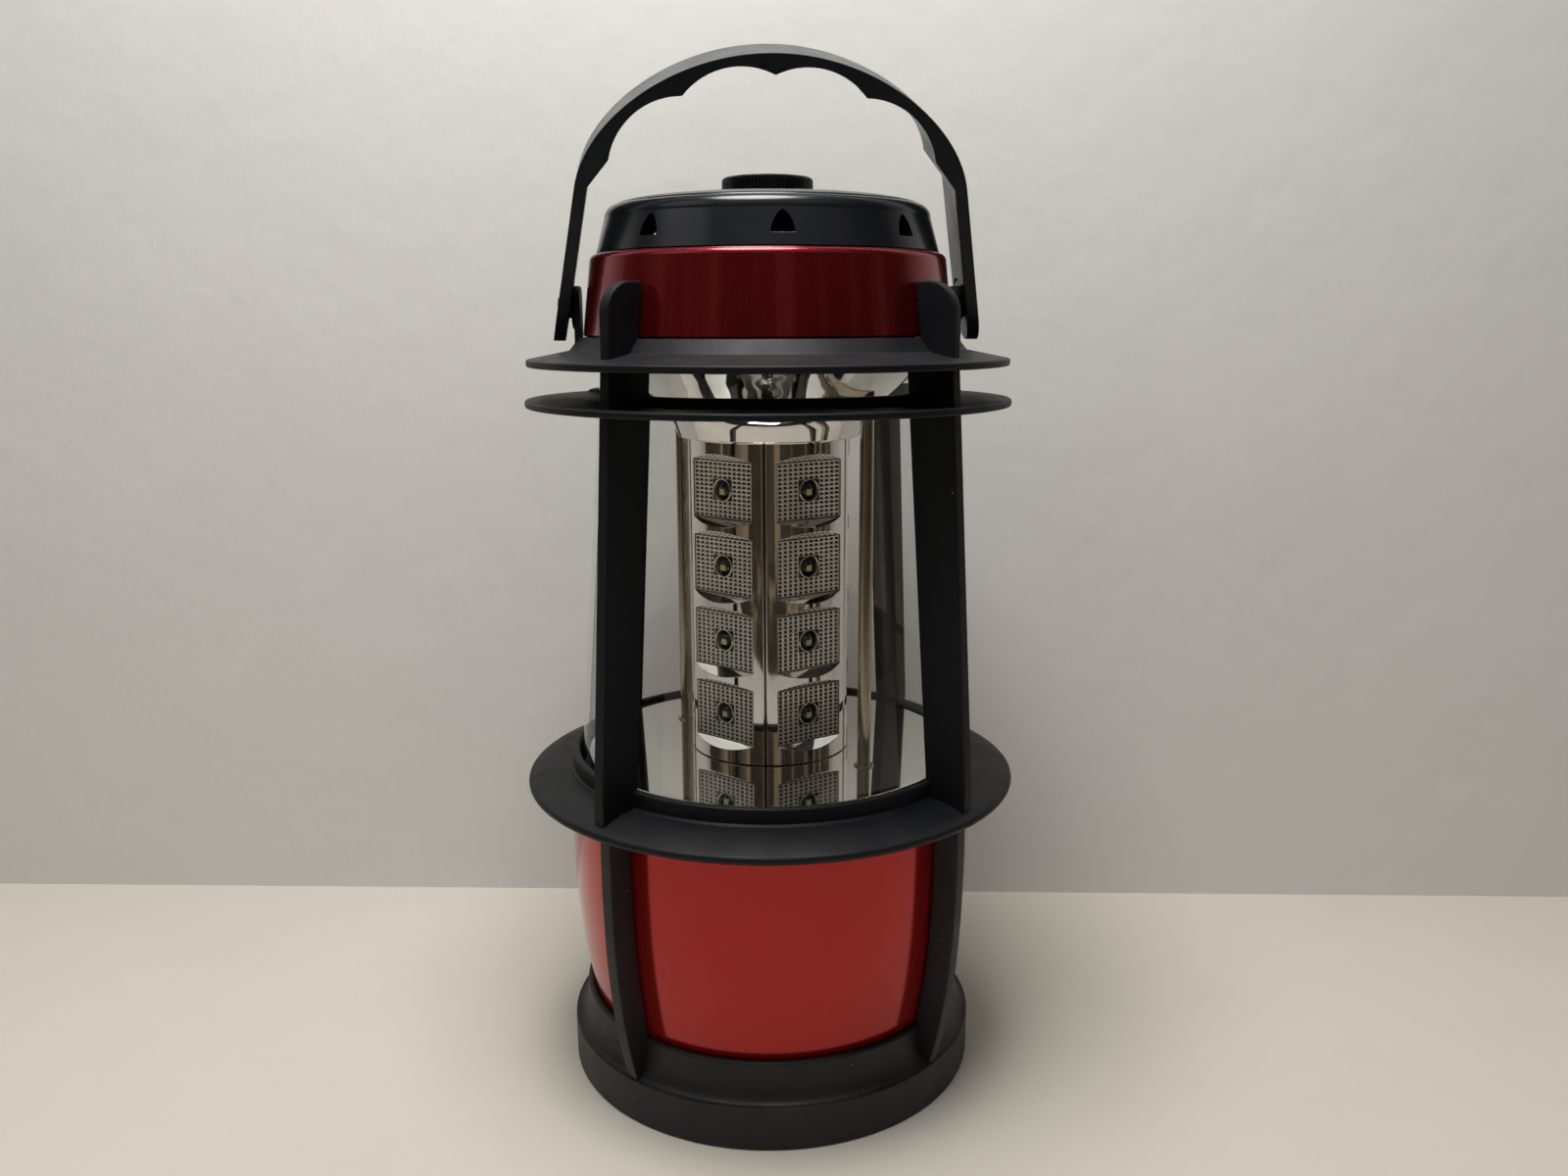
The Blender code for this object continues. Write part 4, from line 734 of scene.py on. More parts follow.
def gloss_black():
    """Glossy cap plastic with a faint flow pattern and a few specks."""
    made, tree, shader = surface("gloss_black", (0.006, 0.0075, 0.010), 0.22, specular=0.45)
    sheen(tree, shader, 0.010, rough=(0.18, 0.27))
    toned = mixed(tree, noise(tree, 0.004, 3.0), (0.005, 0.006, 0.0085), (0.008, 0.0095, 0.0125))
    tint(tree, shader, specks(tree, pitch=0.008, size=0.0002, share=0.15), toned, SPECK_COLOUR)
    bump(tree, shader, noise(tree, 0.003), 0.000006)
    return made


def red_gloss():
    """Bright candy red: a smooth metallic base under clear lacquer."""
    lacquer = {"coat": 0.2, "coat_roughness": 0.03}
    made, tree, shader = surface("red_gloss", (0.395, 0.0115, 0.0075), 0.16, metallic=0.6, **lacquer)
    shade = mixed(tree, noise(tree, 0.0004), (0.370, 0.0105, 0.0065), (0.420, 0.0125, 0.0085))
    tint(tree, shader, specks(tree, pitch=0.012, size=0.00018, share=0.10), shade, SPECK_COLOUR)
    sheen(tree, shader, 0.02, rough=(0.14, 0.18), detail=3.0)
    return made


def red_metallic():
    """Dark candy red: fine metal flakes under tinted lacquer."""
    lacquer = {"coat": 0.45, "coat_roughness": 0.05}
    made, tree, shader = surface("red_metallic", (0.20, 0.006, 0.012), 0.26, metallic=0.8, **lacquer)
    _, flake, gleam = loose_grid(tree, pitch=0.00018)
    shade = mixed(tree, flake, (0.17, 0.005, 0.010), (0.24, 0.008, 0.014))
    tint(tree, shader, specks(tree, pitch=0.010, size=0.0002, share=0.12), shade, SPECK_COLOUR)
    feed(tree, shader, "Roughness", mapped(tree, gleam, 0.0, 1.0, 0.22, 0.30))
    return made


def chrome(name, wave, depth):
    """Bright plating whose slight waves bend what it mirrors."""
    made, tree, shader = surface(name, (0.86, 0.85, 0.83), 0.04, metallic=1.0)
    tint(tree, shader, noise(tree, 0.02, 3.0), (0.82, 0.81, 0.79), (0.90, 0.89, 0.87))
    sheen(tree, shader, 0.006, rough=(0.02, 0.06))
    bump(tree, shader, noise(tree, wave, 1.0), depth)
    return made


def nickel():
    """Drawn tube, slightly brown and uneven."""
    made, tree, shader = surface("nickel_tube", (0.55, 0.49, 0.40), 0.22, metallic=1.0)
    tint(tree, shader, noise(tree, 0.006, 3.0), (0.42, 0.365, 0.285), (0.49, 0.435, 0.355))
    sheen(tree, shader, 0.002, rough=(0.17, 0.22))
    return made


def clear_globe():
    """Thin clear plastic: the near face of each wall reflects, and more so at its edge."""
    made, tree, shader = surface("clear_globe", (0.88, 0.88, 0.87), 0.03, metallic=1.0)
    sheen(tree, shader, 0.02, rough=(0.02, 0.05))
    through = shader_node(tree, "BsdfTransparent", {"Color": (0.945, 0.945, 0.94)})
    edge = shader_node(tree, "Fresnel", {"IOR": GLOBE_IOR})
    near = mapped(tree, geometry(tree, "Backfacing"), 0.0, 1.0, to_low=1.0, to_high=0.0)
    blended(tree, times(tree, edge.outputs[0], near), through.outputs[0], shader.outputs[0])
    return made


def pane_ridge_painted_glint():
    """Sloped sides of the patterned panes: clear plastic, given a pale, partly metallic colour as a painted
    glint of its prisms.
    """
    made, tree, shader = surface("pane_ridge_painted_glint", (0.95, 0.91, 0.84), 0.2, metallic=0.6)
    tint(tree, shader, noise(tree, 0.004, 4.0), (0.90, 0.86, 0.78), (0.98, 0.95, 0.89))
    sheen(tree, shader, 0.003, rough=(0.16, 0.26), detail=3.0)
    return made


def pane_pit_painted_shade():
    """Floors of the panes' pits: clear plastic, painted near black as the shade of the tower's hollow behind
    it.
    """
    made, tree, shader = surface("pane_pit_painted_shade", (0.012, 0.010, 0.008), 0.3, specular=0.2)
    tint(tree, shader, noise(tree, 0.004, 4.0), (0.008, 0.007, 0.006), (0.016, 0.014, 0.011))
    return made


def shaded_dome():
    # Near black: painted shade for the dark inside seen through each clear dome
    made, tree, shader = surface("light_dome_painted_shade", (0.030, 0.028, 0.024), 0.06, coat=1.0, coat_roughness=0.02)
    tint(tree, shader, noise(tree, 0.001, 3.0), (0.020, 0.019, 0.016), (0.050, 0.047, 0.040))
    return made


def light_chip():
    made, tree, shader = surface("light_chip", (0.72, 0.72, 0.34), 0.4)
    tint(tree, shader, noise(tree, 0.0004), (0.60, 0.61, 0.24), (0.84, 0.83, 0.46))
    return made


def mottled(name, dark, light, size, rough, metallic=0.0):
    """Plain finish of a hidden part: two tones and an uneven sheen."""
    made, tree, shader = surface(name, light, rough[0], metallic=metallic)
    tint(tree, shader, noise(tree, size, 4.0), dark, light)
    sheen(tree, shader, 2 * size, rough)
    return made


# Lower guard, barrel and battery cover


def barrel_radius(height):
    """Outer radius of the red shell: straight near the top, drawn in towards the foot."""
    start = shell_bottom + BARREL_START
    share = min(1.0, (shell_top - height) / (shell_top - start))
    return shell_radius - BARREL_SWELL * share**BARREL_POWER


def foot_outline():
    """Foot ring: upright wall with a crisp top edge, hollow slope and a bead round the barrel."""
    stand = foot_radius - FOOT_RING_WIDTH
    ledge = foot_pocket - FOOT_LEDGE_WIDTH
    bead = FOOT_LIP_WALL / 2
    base = filleted([
        (stand, FOOT_LEDGE_LOW),
        (stand, floor_level, FOOT_CRISP_EDGE),
        (foot_radius, floor_level, FOOT_SOFT_EDGE),
        (foot_radius, FOOT_WALL_HEIGHT, FOOT_CRISP_EDGE),
        (foot_radius - FOOT_SOFT_EDGE, FOOT_WALL_HEIGHT),
    ])
    slope_top = FOOT_LIP_HEIGHT - FOOT_LIP_WALL
    slope = arc(
        (foot_radius - FOOT_SOFT_EDGE, slope_top),
        (foot_radius - FOOT_SOFT_EDGE - foot_lip_radius, slope_top - FOOT_WALL_HEIGHT),
        1.5 * math.pi,
        FOOT_SLOPE_END,
    )
    bead_centre = (foot_lip_radius - bead, FOOT_LIP_HEIGHT - bead)
    bead_arc = arc(bead_centre, (bead + FOOT_LIP_BULGE, bead), FOOT_BEAD_START, math.pi, 2 * FILLET_STEPS)
    inside = [(foot_pocket, FOOT_LEDGE_HIGH), (ledge, FOOT_LEDGE_HIGH), (ledge, FOOT_LEDGE_LOW)]
    return base + slope[1:] + bead_arc[:-1] + [(foot_pocket, bead_centre[1])] + inside


def rib():
    """One lower rib: its inner edge follows the barrel, its outer edge bows out above the foot."""
    outer_top = shell_radius + RIB_PROUD
    outer_drop = outer_top - (foot_radius - FOOT_SOFT_EDGE)
    inner = [(barrel_radius(z) + SLIDE_GAP, z) for z in levels(FOOT_LIP_HEIGHT + FOOT_LIP_WALL, rib_top)]
    outer = []
    for z in reversed(levels(FOOT_WALL_HEIGHT - FOOT_SOFT_EDGE, rib_top)):
        share = (rib_top - z) / (rib_top - FOOT_WALL_HEIGHT + FOOT_SOFT_EDGE)
        outer.append((outer_top - outer_drop * share**BARREL_POWER, z))
    rooted = FOOT_WALL_HEIGHT / 2
    root = [(foot_radius - 2 * FOOT_SOFT_EDGE, rooted), (foot_lip_radius, rooted)]
    lip = [(foot_lip_radius - FOOT_LIP_WALL / 2, FOOT_LIP_HEIGHT - FOOT_SOFT_EDGE)]
    return plate(inner + outer + root + lip, RIB_THICKNESS, RIB_EDGE)


def lower_guard(material):
    guard = solid(turned(foot_outline()), "lower_guard_fine")
    join(guard, spread(rib, rib_angles()))
    dress(guard, ["lower_guard"], "lantern", "black_plastic", material)


def base_shell(material):
    heights = levels(shell_bottom + BARREL_START, shell_top - SHELL_EDGE, 2 * CURVE_STEPS)
    outer = [(barrel_radius(z), z) for z in heights]
    inner = [(barrel_radius(z) - SHELL_WALL, z) for z in reversed(heights)]
    rim = [(shell_radius - SHELL_EDGE, shell_top), (shell_radius - SHELL_WALL, shell_top)]
    foot = shell_radius - BARREL_SWELL
    outline = [(foot - SHELL_WALL, shell_bottom), (foot, shell_bottom)] + outer + rim + inner
    stand_in(turned(outline), "base_shell", "red_gloss", material)


def battery_cover(material):
    top = cover_bottom + COVER_THICKNESS
    collar_inner_wall = COVER_COLLAR_RADIUS - COVER_COLLAR_WALL
    cover = solid(turned(filleted([
        (0, cover_bottom),
        (cover_radius, cover_bottom, COVER_EDGE),
        (cover_radius, top),
        (COVER_COLLAR_RADIUS, top),
        (COVER_COLLAR_RADIUS, cover_collar_top),
        (collar_inner_wall, cover_collar_top),
        (collar_inner_wall, top),
        (0, top),
    ])), "battery_cover_fine")
    for side in (-1, 1):
        near, far = sorted((side * COVER_GRIP_BAR / 2, side * (COVER_GRIP_BAR / 2 + COVER_GRIP_WIDTH)))
        low = (-COVER_GRIP_LENGTH / 2, near, cover_bottom - COVER_GRIP_DEPTH)
        high = (COVER_GRIP_LENGTH / 2, far, cover_bottom + COVER_GRIP_DEPTH)
        cut(cover, block(low, high, COVER_GRIP_EDGE))
    dress(cover, ["battery_cover"], "cover", "black_plastic", material)


# Upper guard


def globe_outer(height):
    return globe_radius - GLOBE_TAPER * (height - globe_bottom) / (globe_top - globe_bottom)


def band_outer(height):
    return band_radius - BAND_TAPER * (height - band_bottom) / BAND_HEIGHT


def flange_outline():
    """Mid flange: round rim, crowned top and the collar that holds the globe."""
    rim = FLANGE_RIM / 2
    nose_centre = (flange_radius - rim, guard_bottom + rim)
    nose = arc(nose_centre, (rim, rim), -math.pi / 2, FLANGE_NOSE_END, 3 * FILLET_STEPS)
    root = (collar_radius + COLLAR_ROOT, flange_crown)
    crown = curve(nose[-1], root, lambda share: 1 - (1 - share) ** 2)[1:-1]
    collar = filleted([
        root,
        (collar_radius, flange_crown + COLLAR_ROOT),
        (collar_radius, collar_top, COLLAR_EDGE),
        (collar_inner, collar_top, COLLAR_EDGE),
        (collar_inner, guard_bottom),
    ])
    return nose + crown + collar


def brim_outline():
    rim_top = brim_bottom + BRIM_RIM
    return filleted([
        (brim_inner, brim_bottom),
        (brim_radius, brim_bottom, BRIM_EDGE),
        (brim_radius, rim_top, BRIM_EDGE),
        (brim_collar_radius + BRIM_CONE_FOOT, brim_ledge, BRIM_ROOT),
        (brim_collar_radius, brim_collar_top, BRIM_COLLAR_EDGE),
        (brim_collar_inner, brim_collar_top),
        (brim_collar_inner, brim_ledge),
        (brim_inner, brim_ledge),
    ])


def lower_brim_outline():
    inner = globe_outer(lower_brim_bottom) + POST_GLOBE_GAP / 2
    collar = inner + LOWER_BRIM_COLLAR_WALL
    rim_top = lower_brim_bottom + BRIM_RIM
    return filleted([
        (inner, lower_brim_bottom),
        (lower_brim_radius, lower_brim_bottom, BRIM_EDGE),
        (lower_brim_radius, rim_top, BRIM_EDGE),
        (collar, rim_top, LOWER_BRIM_ROOT),
        (collar, rim_top + LOWER_BRIM_COLLAR_RISE, BRIM_COLLAR_EDGE),
        (inner, rim_top + LOWER_BRIM_COLLAR_RISE),
    ])


def post():
    """One post from the mid flange up to the brims."""
    low = guard_bottom + FLANGE_RIM / 2
    high = brim_bottom + BRIM_THICKNESS / 2
    outline = [
        (globe_outer(low) + POST_GLOBE_GAP, low),
        (globe_outer(high) + POST_GLOBE_GAP, high),
        (post_top_radius, high),
        (post_top_radius, brim_bottom),
        (post_foot_radius, collar_top),
        (post_foot_radius, low),
    ]
    return plate(outline, POST_THICKNESS, POST_EDGE)


def fin():
    """The rounded end of one post, beside the red band."""
    low = brim_bottom + BRIM_THICKNESS / 2
    wall_middle = brim_collar_inner + BRIM_COLLAR_WALL / 2
    inner = [
        (wall_middle, low),
        (wall_middle, brim_collar_top - SLIDE_GAP),
        (band_outer(band_bottom) + SLIDE_GAP, brim_collar_top + SLIDE_GAP),
        (band_outer(fin_top) + SLIDE_GAP, fin_top),
    ]
    corner = arc((fin_radius - FIN_CORNER, fin_top - FIN_CORNER), (FIN_CORNER, FIN_CORNER), math.pi / 2, 0)
    return plate(inner + corner + [(fin_radius, low)], POST_THICKNESS, FIN_EDGE)


def ear():
    """Upright lug on the brim collar that carries one end of the bail."""
    low = brim_ledge + SLIDE_GAP
    high = brim_collar_top + EAR_HEIGHT
    half = EAR_WIDTH / 2
    left = arc((-half + EAR_CORNER, high - EAR_CORNER), (EAR_CORNER, EAR_CORNER), math.pi, math.pi / 2)
    lug = prism([(half, low), (-half, low), *left, *mirrored(left)], -ear_outer, -ear_inner, EAR_EDGE)
    return moved(lug, about_z(math.pi / 2))


def pivot():
    """Pin and boss of one ear, along +X."""
    outline = filleted([
        (0, ear_inner + EAR_THICKNESS / 2),
        (PIVOT_BOSS_RADIUS, ear_inner + EAR_THICKNESS / 2),
        (PIVOT_BOSS_RADIUS, boss_face, PIVOT_EDGE),
        (PIVOT_PIN_RADIUS, boss_face),
        (PIVOT_PIN_RADIUS, arm_outer, PIVOT_EDGE),
        (0, arm_outer),
    ])
    return moved(turned(outline, SMALL_FACETS), at(0, 0, pivot_level) @ LAID_ALONG_X)


def upper_guard(material):
    guard = solid(turned(flange_outline()), "upper_guard_fine")
    join(guard, spread(post, rib_angles()))
    join(guard, turned(lower_brim_outline()), turned(brim_outline()))
    join(guard, spread(fin, rib_angles()))
    for turn in (0, math.pi):
        join(guard, moved(ear(), about_z(turn)), moved(pivot(), about_z(turn)))
    dress(guard, ["upper_guard"], "lantern", "black_plastic", material)


# Globe, mirror, bowl and rods


def globe(material):
    tube = turned(filleted([
        (globe_radius - GLOBE_WALL, globe_bottom, GLOBE_EDGE),
        (globe_radius, globe_bottom, GLOBE_EDGE),
        (globe_top_radius, globe_top, GLOBE_EDGE),
        (globe_top_radius - GLOBE_WALL, globe_top, GLOBE_EDGE),
    ]))
    stand_in(tube, "globe", "clear_plastic", material)


def bottom_mirror(material):
    disc = turned(filleted([
        (0, mirror_bottom),
        (mirror_radius, mirror_bottom),
        (mirror_radius, mirror_top, MIRROR_EDGE),
        (0, mirror_top),
    ]))
    stand_in(disc, "bottom_mirror", "chrome", material)


def top_reflector(material):
    """Bright bowl over the tower: a small foot, a flared wall and an upright rim under the housing."""
    foot_level = bowl_bottom + BOWL_LIP
    lip = TOWER_RADIUS + SLIDE_GAP
    flare_start = (lip + BOWL_FOOT_WIDTH + BOWL_FOOT_FLARE, foot_level + BOWL_FOOT_HEIGHT)
    flare_end = (bowl_radius, bowl_top - BOWL_RIM_HEIGHT)
    flare = curve(flare_start, flare_end, lambda share: share**BOWL_CURVE)
    foot = filleted([
        (BOWL_EYE, foot_level),
        (lip, foot_level),
        (lip, bowl_bottom),
        (lip + BOWL_FOOT_WIDTH, foot_level, BOWL_LIP),
        flare_start,
    ])
    inner = [(bowl_radius - BOWL_WALL, bowl_top)]
    inner += [(radius - BOWL_WALL, height + BOWL_WALL / 2) for radius, height in reversed(flare)]
    inner += [(lip + BOWL_WALL / 2, foot_level + BOWL_WALL), (BOWL_EYE, foot_level + BOWL_WALL)]
    outline = foot + flare[1:] + [(bowl_radius, bowl_top)] + inner
    stand_in(turned(outline), "top_reflector", "chrome", material)


def tie_rod(index, material):
    """Hollow rod with a small ring where it meets the mirror."""
    node = f"tie_rod_{index}"
    low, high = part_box(node)
    radius = (high.x - low.x) / 2
    ring_top = mirror_top + ROD_RING_HEIGHT
    outline = filleted([
        (ROD_BORE, low.z),
        (radius, low.z),
        (radius, mirror_top),
        (ROD_RING_RADIUS, mirror_top),
        (ROD_RING_RADIUS, ring_top, ROD_RING_HEIGHT / 2),
        (radius, ring_top),
        (radius, high.z),
        (ROD_BORE, high.z),
    ])
    tube = moved(turned(outline, SMALL_FACETS), at((low.x + high.x) / 2, (low.y + high.y) / 2))
    stand_in(tube, node, "nickel", material)


# Light tower


def column_angles():
    return round_the_axis(TOWER_COLUMNS, TOWER_TURN)


def row_heights():
    first = tower_bottom + TOWER_END_BAND + row_pitch / 2
    return [first + row_pitch * row for row in range(TOWER_ROWS)]


def segment_section():
    """Plan of one fifth of the tower, with rounded edges along its sides."""
    half = column_half_angle - SEGMENT_SIDE_GAP
    turn_in = SEGMENT_EDGE / TOWER_RADIUS
    edge = []
    for angle in levels(0, math.pi / 2, FILLET_STEPS):
        radius = TOWER_RADIUS - SEGMENT_EDGE * (1 - math.sin(angle))
        edge.append((radius, half - turn_in * (1 - math.cos(angle))))
    front = [(TOWER_RADIUS, turn) for turn in levels(half - turn_in, turn_in - half, 2 * CURVE_STEPS)]
    polar = edge + front[1:-1] + [(radius, -turn) for radius, turn in reversed(edge)]
    corner = segment_back * math.tan(half)
    points = [(radius * math.cos(turn), radius * math.sin(turn)) for radius, turn in polar]
    return points + [(segment_back, -corner), (segment_back, corner)]


def segment_window(height):
    """Cutter for one window: straight at the back, flared in front."""
    past_front = TOWER_RADIUS + POCKET_DEPTH
    past_back = segment_back - POCKET_DEPTH
    flare = pane_half_height + (past_front - pane_plane) * POCKET_SLOPE
    outline = [
        (past_back, height - pane_half_height),
        (pane_plane, height - pane_half_height),
        (past_front, height - flare),
        (past_front, height + flare),
        (pane_plane, height + pane_half_height),
        (past_back, height + pane_half_height),
    ]
    return plate(outline, 2 * pocket_half_width)


def reflector_segment(index, angle, material):
    node = f"reflector_segment_{index}"
    segment = solid(moved(prism(segment_section(), tower_bottom, tower_top), STOOD_UP), f"{node}_fine")
    cut(segment, gathered([segment_window(height) for height in row_heights()]))
    segment.data.transform(about_z(angle))
    soften(segment, POCKET_EDGE)
    dress(segment, [node], "lantern", "chrome", material)


def pane(pale, dark):
    """One clear pane, facing +X: its front is a grid of ridges with a painted pale glint and square pits
    painted dark as shade, round a hole.
    """
    half_width = pocket_half_width - SEAT_GAP
    half_height = pane_half_height - SEAT_GAP
    back = pane_plane - PANE_THICKNESS
    bm = bmesh.new()
    grid = []
    for y in levels(-half_width, half_width, PIT_COLUMNS):
        grid.append([bm.verts.new((pane_plane, y, z)) for z in levels(-half_height, half_height, PIT_ROWS)])
    for near, far in zip(grid, grid[1:]):
        for row in range(PIT_ROWS):
            cell(bm, (near[row], far[row], far[row + 1], near[row + 1]))
    rim_edges = [edge for edge in bm.edges if edge.is_boundary]
    push(bm, bmesh.ops.extrude_edge_only(bm, edges=rim_edges), (back - pane_plane, 0, 0))
    bmesh.ops.holes_fill(bm, edges=bm.edges[:], sides=0)
    made = solid(bm, "pane")
    made.data.materials.append(pale)
    made.data.materials.append(dark)
    hole = LED_RADIUS + RIM_GAP + 2 * RIM_RADIUS
    cut(made, moved(rod(hole, back - PANE_THICKNESS, TOWER_RADIUS), LAID_ALONG_X))
    return made.data


def cell(bm, corners):
    """One square of the pane's pattern, painted dark as shade: sunk between slopes with a painted pale
    glint, or flat near the light.
    """
    middle = sum((corner.co for corner in corners), Vector()) / len(corners)
    floor = corners
    if math.hypot(middle.y, middle.z) > PANE_FLAT_RING:
        inset = [corner.co.lerp(middle, 1 - PIT_FLOOR) for corner in corners]
        floor = [bm.verts.new((pane_plane - PIT_DEPTH, point.y, point.z)) for point in inset]
        bridge(bm, corners, floor)
    # The pit floor takes the second material: painted shade
    bm.faces.new(floor).material_index = 1


def copies(mesh, angle):
    """The mesh of one row, repeated up one column."""
    whole = bmesh.new()
    for height in row_heights():
        turned_copy = mesh.copy()
        turned_copy.transform(about_z(angle) @ at(0, 0, height))
        whole.from_mesh(turned_copy)
        bpy.data.meshes.remove(turned_copy)
    return whole


def lens_strip(index, angle, pane_mesh, pale, dark):
    stand_in(copies(pane_mesh, angle), f"lens_strip_{index}", "clear_plastic", pale, dark)


def dome():
    """One domed light, pointing along +X."""
    tip = pane_plane + LED_PROUD
    outline = [(0, strip_front), (LED_RADIUS + LED_FLANGE, strip_front)]
    outline += [(LED_RADIUS + LED_FLANGE, strip_front + LED_FLANGE), (LED_RADIUS, strip_front + LED_FLANGE)]
    outline += arc((0, tip - LED_RADIUS), (LED_RADIUS, LED_RADIUS), 0, math.pi / 2, 2 * FILLET_STEPS)[:-1]
    return solid(moved(turned(outline + [(0, tip)], SMALL_FACETS), LAID_ALONG_X), "dome").data


def chip():
    """Yellow chip that shows near the tip of one light."""
    tip = pane_plane + LED_PROUD
    half = CHIP_SIZE / 2
    low = (tip - LED_RADIUS / 2, -half, -half - CHIP_DROP)
    high = (tip + CHIP_PROUD, half, half - CHIP_DROP)
    return solid(block(low, high, CHIP_PROUD), "chip").data


def glint_ring():
    """Plated ring round one light: a painted highlight for the bright edge of its clear dome."""
    middle = (LED_RADIUS + RIM_GAP + RIM_RADIUS - SAME_POINT, pane_plane)
    outline = arc(middle, (RIM_RADIUS, RIM_RADIUS), 0, 2 * math.pi, 3 * FILLET_STEPS)
    return solid(moved(turned(outline[:-1], SMALL_FACETS), LAID_ALONG_X), "rim").data


def led_strip(index, angle, meshes, green, dark, yellow, bright):
    """Circuit strip, its domed lights painted dark as shade, their chips, and plated rings round them as a
    painted highlight of the domes' bright edges.
    """
    node = f"led_strip_{index}"
    strip_back = strip_front - STRIP_THICKNESS
    half = strip_back * math.tan(column_half_angle) - SLIDE_GAP
    low = (strip_back, -half, tower_bottom + TOWER_END_BAND)
    high = (strip_front, half, tower_top - TOWER_END_BAND)
    board = moved(block(low, high, SEAT_GAP), about_z(angle))
    domes, chips, glint_rings = (copies(mesh, angle) for mesh in meshes)
    stand_in(board, node, "circuit_board", green, ending="board")
    stand_in(domes, node, "clear_plastic", dark, ending="domes")
    stand_in(chips, node, "white_plastic", yellow, ending="chips")
    stand_in(glint_rings, node, "clear_plastic", bright, ending="glint_rings")


def light_tower(bright, ridge_glint, pit_shade, green, dark, yellow):
    pane_mesh = pane(ridge_glint, pit_shade)
    light_meshes = (dome(), chip(), glint_ring())
    for index, angle in enumerate(column_angles(), 1):
        reflector_segment(index, angle, bright)
        lens_strip(index, angle, pane_mesh, ridge_glint, pit_shade)
        led_strip(index, angle, light_meshes, green, dark, yellow, bright)
    for name in ("pane", "dome", "chip", "rim"):
        bpy.data.objects.remove(bpy.data.objects[name])


# Red band, cap and knob


def top_housing(material):
    fillet = arc((cap_radius, housing_top - BAND_FILLET), (BAND_FILLET, BAND_FILLET), 0, math.pi / 2)
    wall = cap_radius - HOUSING_WALL
    outline = [
        (BOWL_EYE, housing_bottom),
        (housing_skirt_radius, housing_bottom),
        (housing_skirt_radius, band_bottom),
        (band_radius - BAND_EDGE, band_bottom),
        (band_radius, band_bottom + BAND_EDGE),
        *fillet,
        (wall, housing_top),
        (wall, housing_top - BAND_FILLET),
        (band_radius - HOUSING_WALL - HOUSING_SHOULDER, housing_bottom + HOUSING_FLOOR),
        (BOWL_EYE, housing_bottom + HOUSING_FLOOR),
    ]
    stand_in(turned(outline), "top_housing", "red_metallic", material)


def vent():
    """Cutter for one bullet-shaped vent in the cap's side."""
    sill = cap_bottom + VENT_SILL
    half = VENT_WIDTH / 2
    side = []
    for angle in levels(0, math.pi / 2):
        share = math.sin(angle)
        side.append((half * (1 - share**VENT_POWER) ** VENT_BLUNT, sill + VENT_HEIGHT * share))
    return prism(side + mirrored(side[:-1]), -cap_radius - CAP_WALL, -cap_radius + VENT_REACH)


def vent_cap(material):
    shoulder = cap_radius - CAP_SIDE_DRAFT
    edge = shoulder - CAP_CORNER_WIDTH
    corner = arc((edge, cap_shoulder), (CAP_CORNER_WIDTH, CAP_CORNER_HEIGHT), 0, math.pi / 2)
    crown = arc((0, cap_crown_edge), (edge, CAP_CROWN), 0, math.pi / 2)[1:-1] + [(CAP_EYE, cap_top)]
    spigot = cap_radius - HOUSING_WALL - SLIDE_GAP
    inside = [(radius, height - CAP_WALL) for radius, height in reversed(crown)]
    inside += [
        (edge - CAP_WALL / 2, cap_crown_edge - CAP_WALL),
        (shoulder - CAP_WALL, cap_shoulder - CAP_WALL / 2),
        (spigot - CAP_WALL, cap_bottom + CAP_WALL),
        (spigot - CAP_WALL, spigot_bottom),
        (spigot, spigot_bottom),
        (spigot, cap_bottom),
    ]
    cap = solid(turned([(cap_radius, cap_bottom)] + corner + crown + inside), "vent_cap_fine")
    cut(cap, spread(vent, round_the_axis(VENT_COUNT)))
    soften(cap, VENT_EDGE)
    dress(cap, ["vent_cap"], "lantern", "gloss_black", material)


def knurled_ring(bm, radius, depth, level):
    """One ring of points with the knob's knurl in it: two on each crest and two in each groove."""
    ring = []
    for index, angle in enumerate(round_the_axis(4 * KNURL_COUNT)):
        reach_out = radius - depth * (index // 2 % 2)
        ring.append(bm.verts.new((reach_out * math.cos(angle), reach_out * math.sin(angle), level)))
    return ring


def dimmer_knob(material):
    """Low knurled knob with a round crown, on a hollow stem."""
    bm = bmesh.new()
    shoulder = knob_top - KNOB_CROWN
    rings = [knurled_ring(bm, knob_radius, KNURL_DEPTH, knob_bottom)]
    for angle in levels(0, math.pi / 2, 2 * FILLET_STEPS):
        inset = KNOB_CROWN * (1 - math.cos(angle))
        level = shoulder + KNOB_CROWN * math.sin(angle)
        rings.append(knurled_ring(bm, knob_radius - inset, KNURL_DEPTH * math.cos(angle), level))
    for lower, upper in zip(rings, rings[1:]):
        bridge(bm, lower, upper)
    bm.faces.new(list(reversed(rings[0])))
    bm.faces.new(rings[-1])
    knob = solid(bm, "dimmer_knob_fine")
    join(knob, rod(KNOB_STEM, stem_bottom, knob_bottom + KNOB_CROWN))
    cut(knob, rod(KNOB_BORE, stem_bottom - SLIDE_GAP, knob_top - KNOB_ROOF))
    dress(knob, ["dimmer_knob"], "dimmer", "gloss_black", material)


# Bail


def strap_half_width(height, wall=0.0):
    """Half the bail's width at a height above the pivot, less a wall: both arms lean in."""
    return arm_outer - wall - height * math.tan(ARM_LEAN_IN)


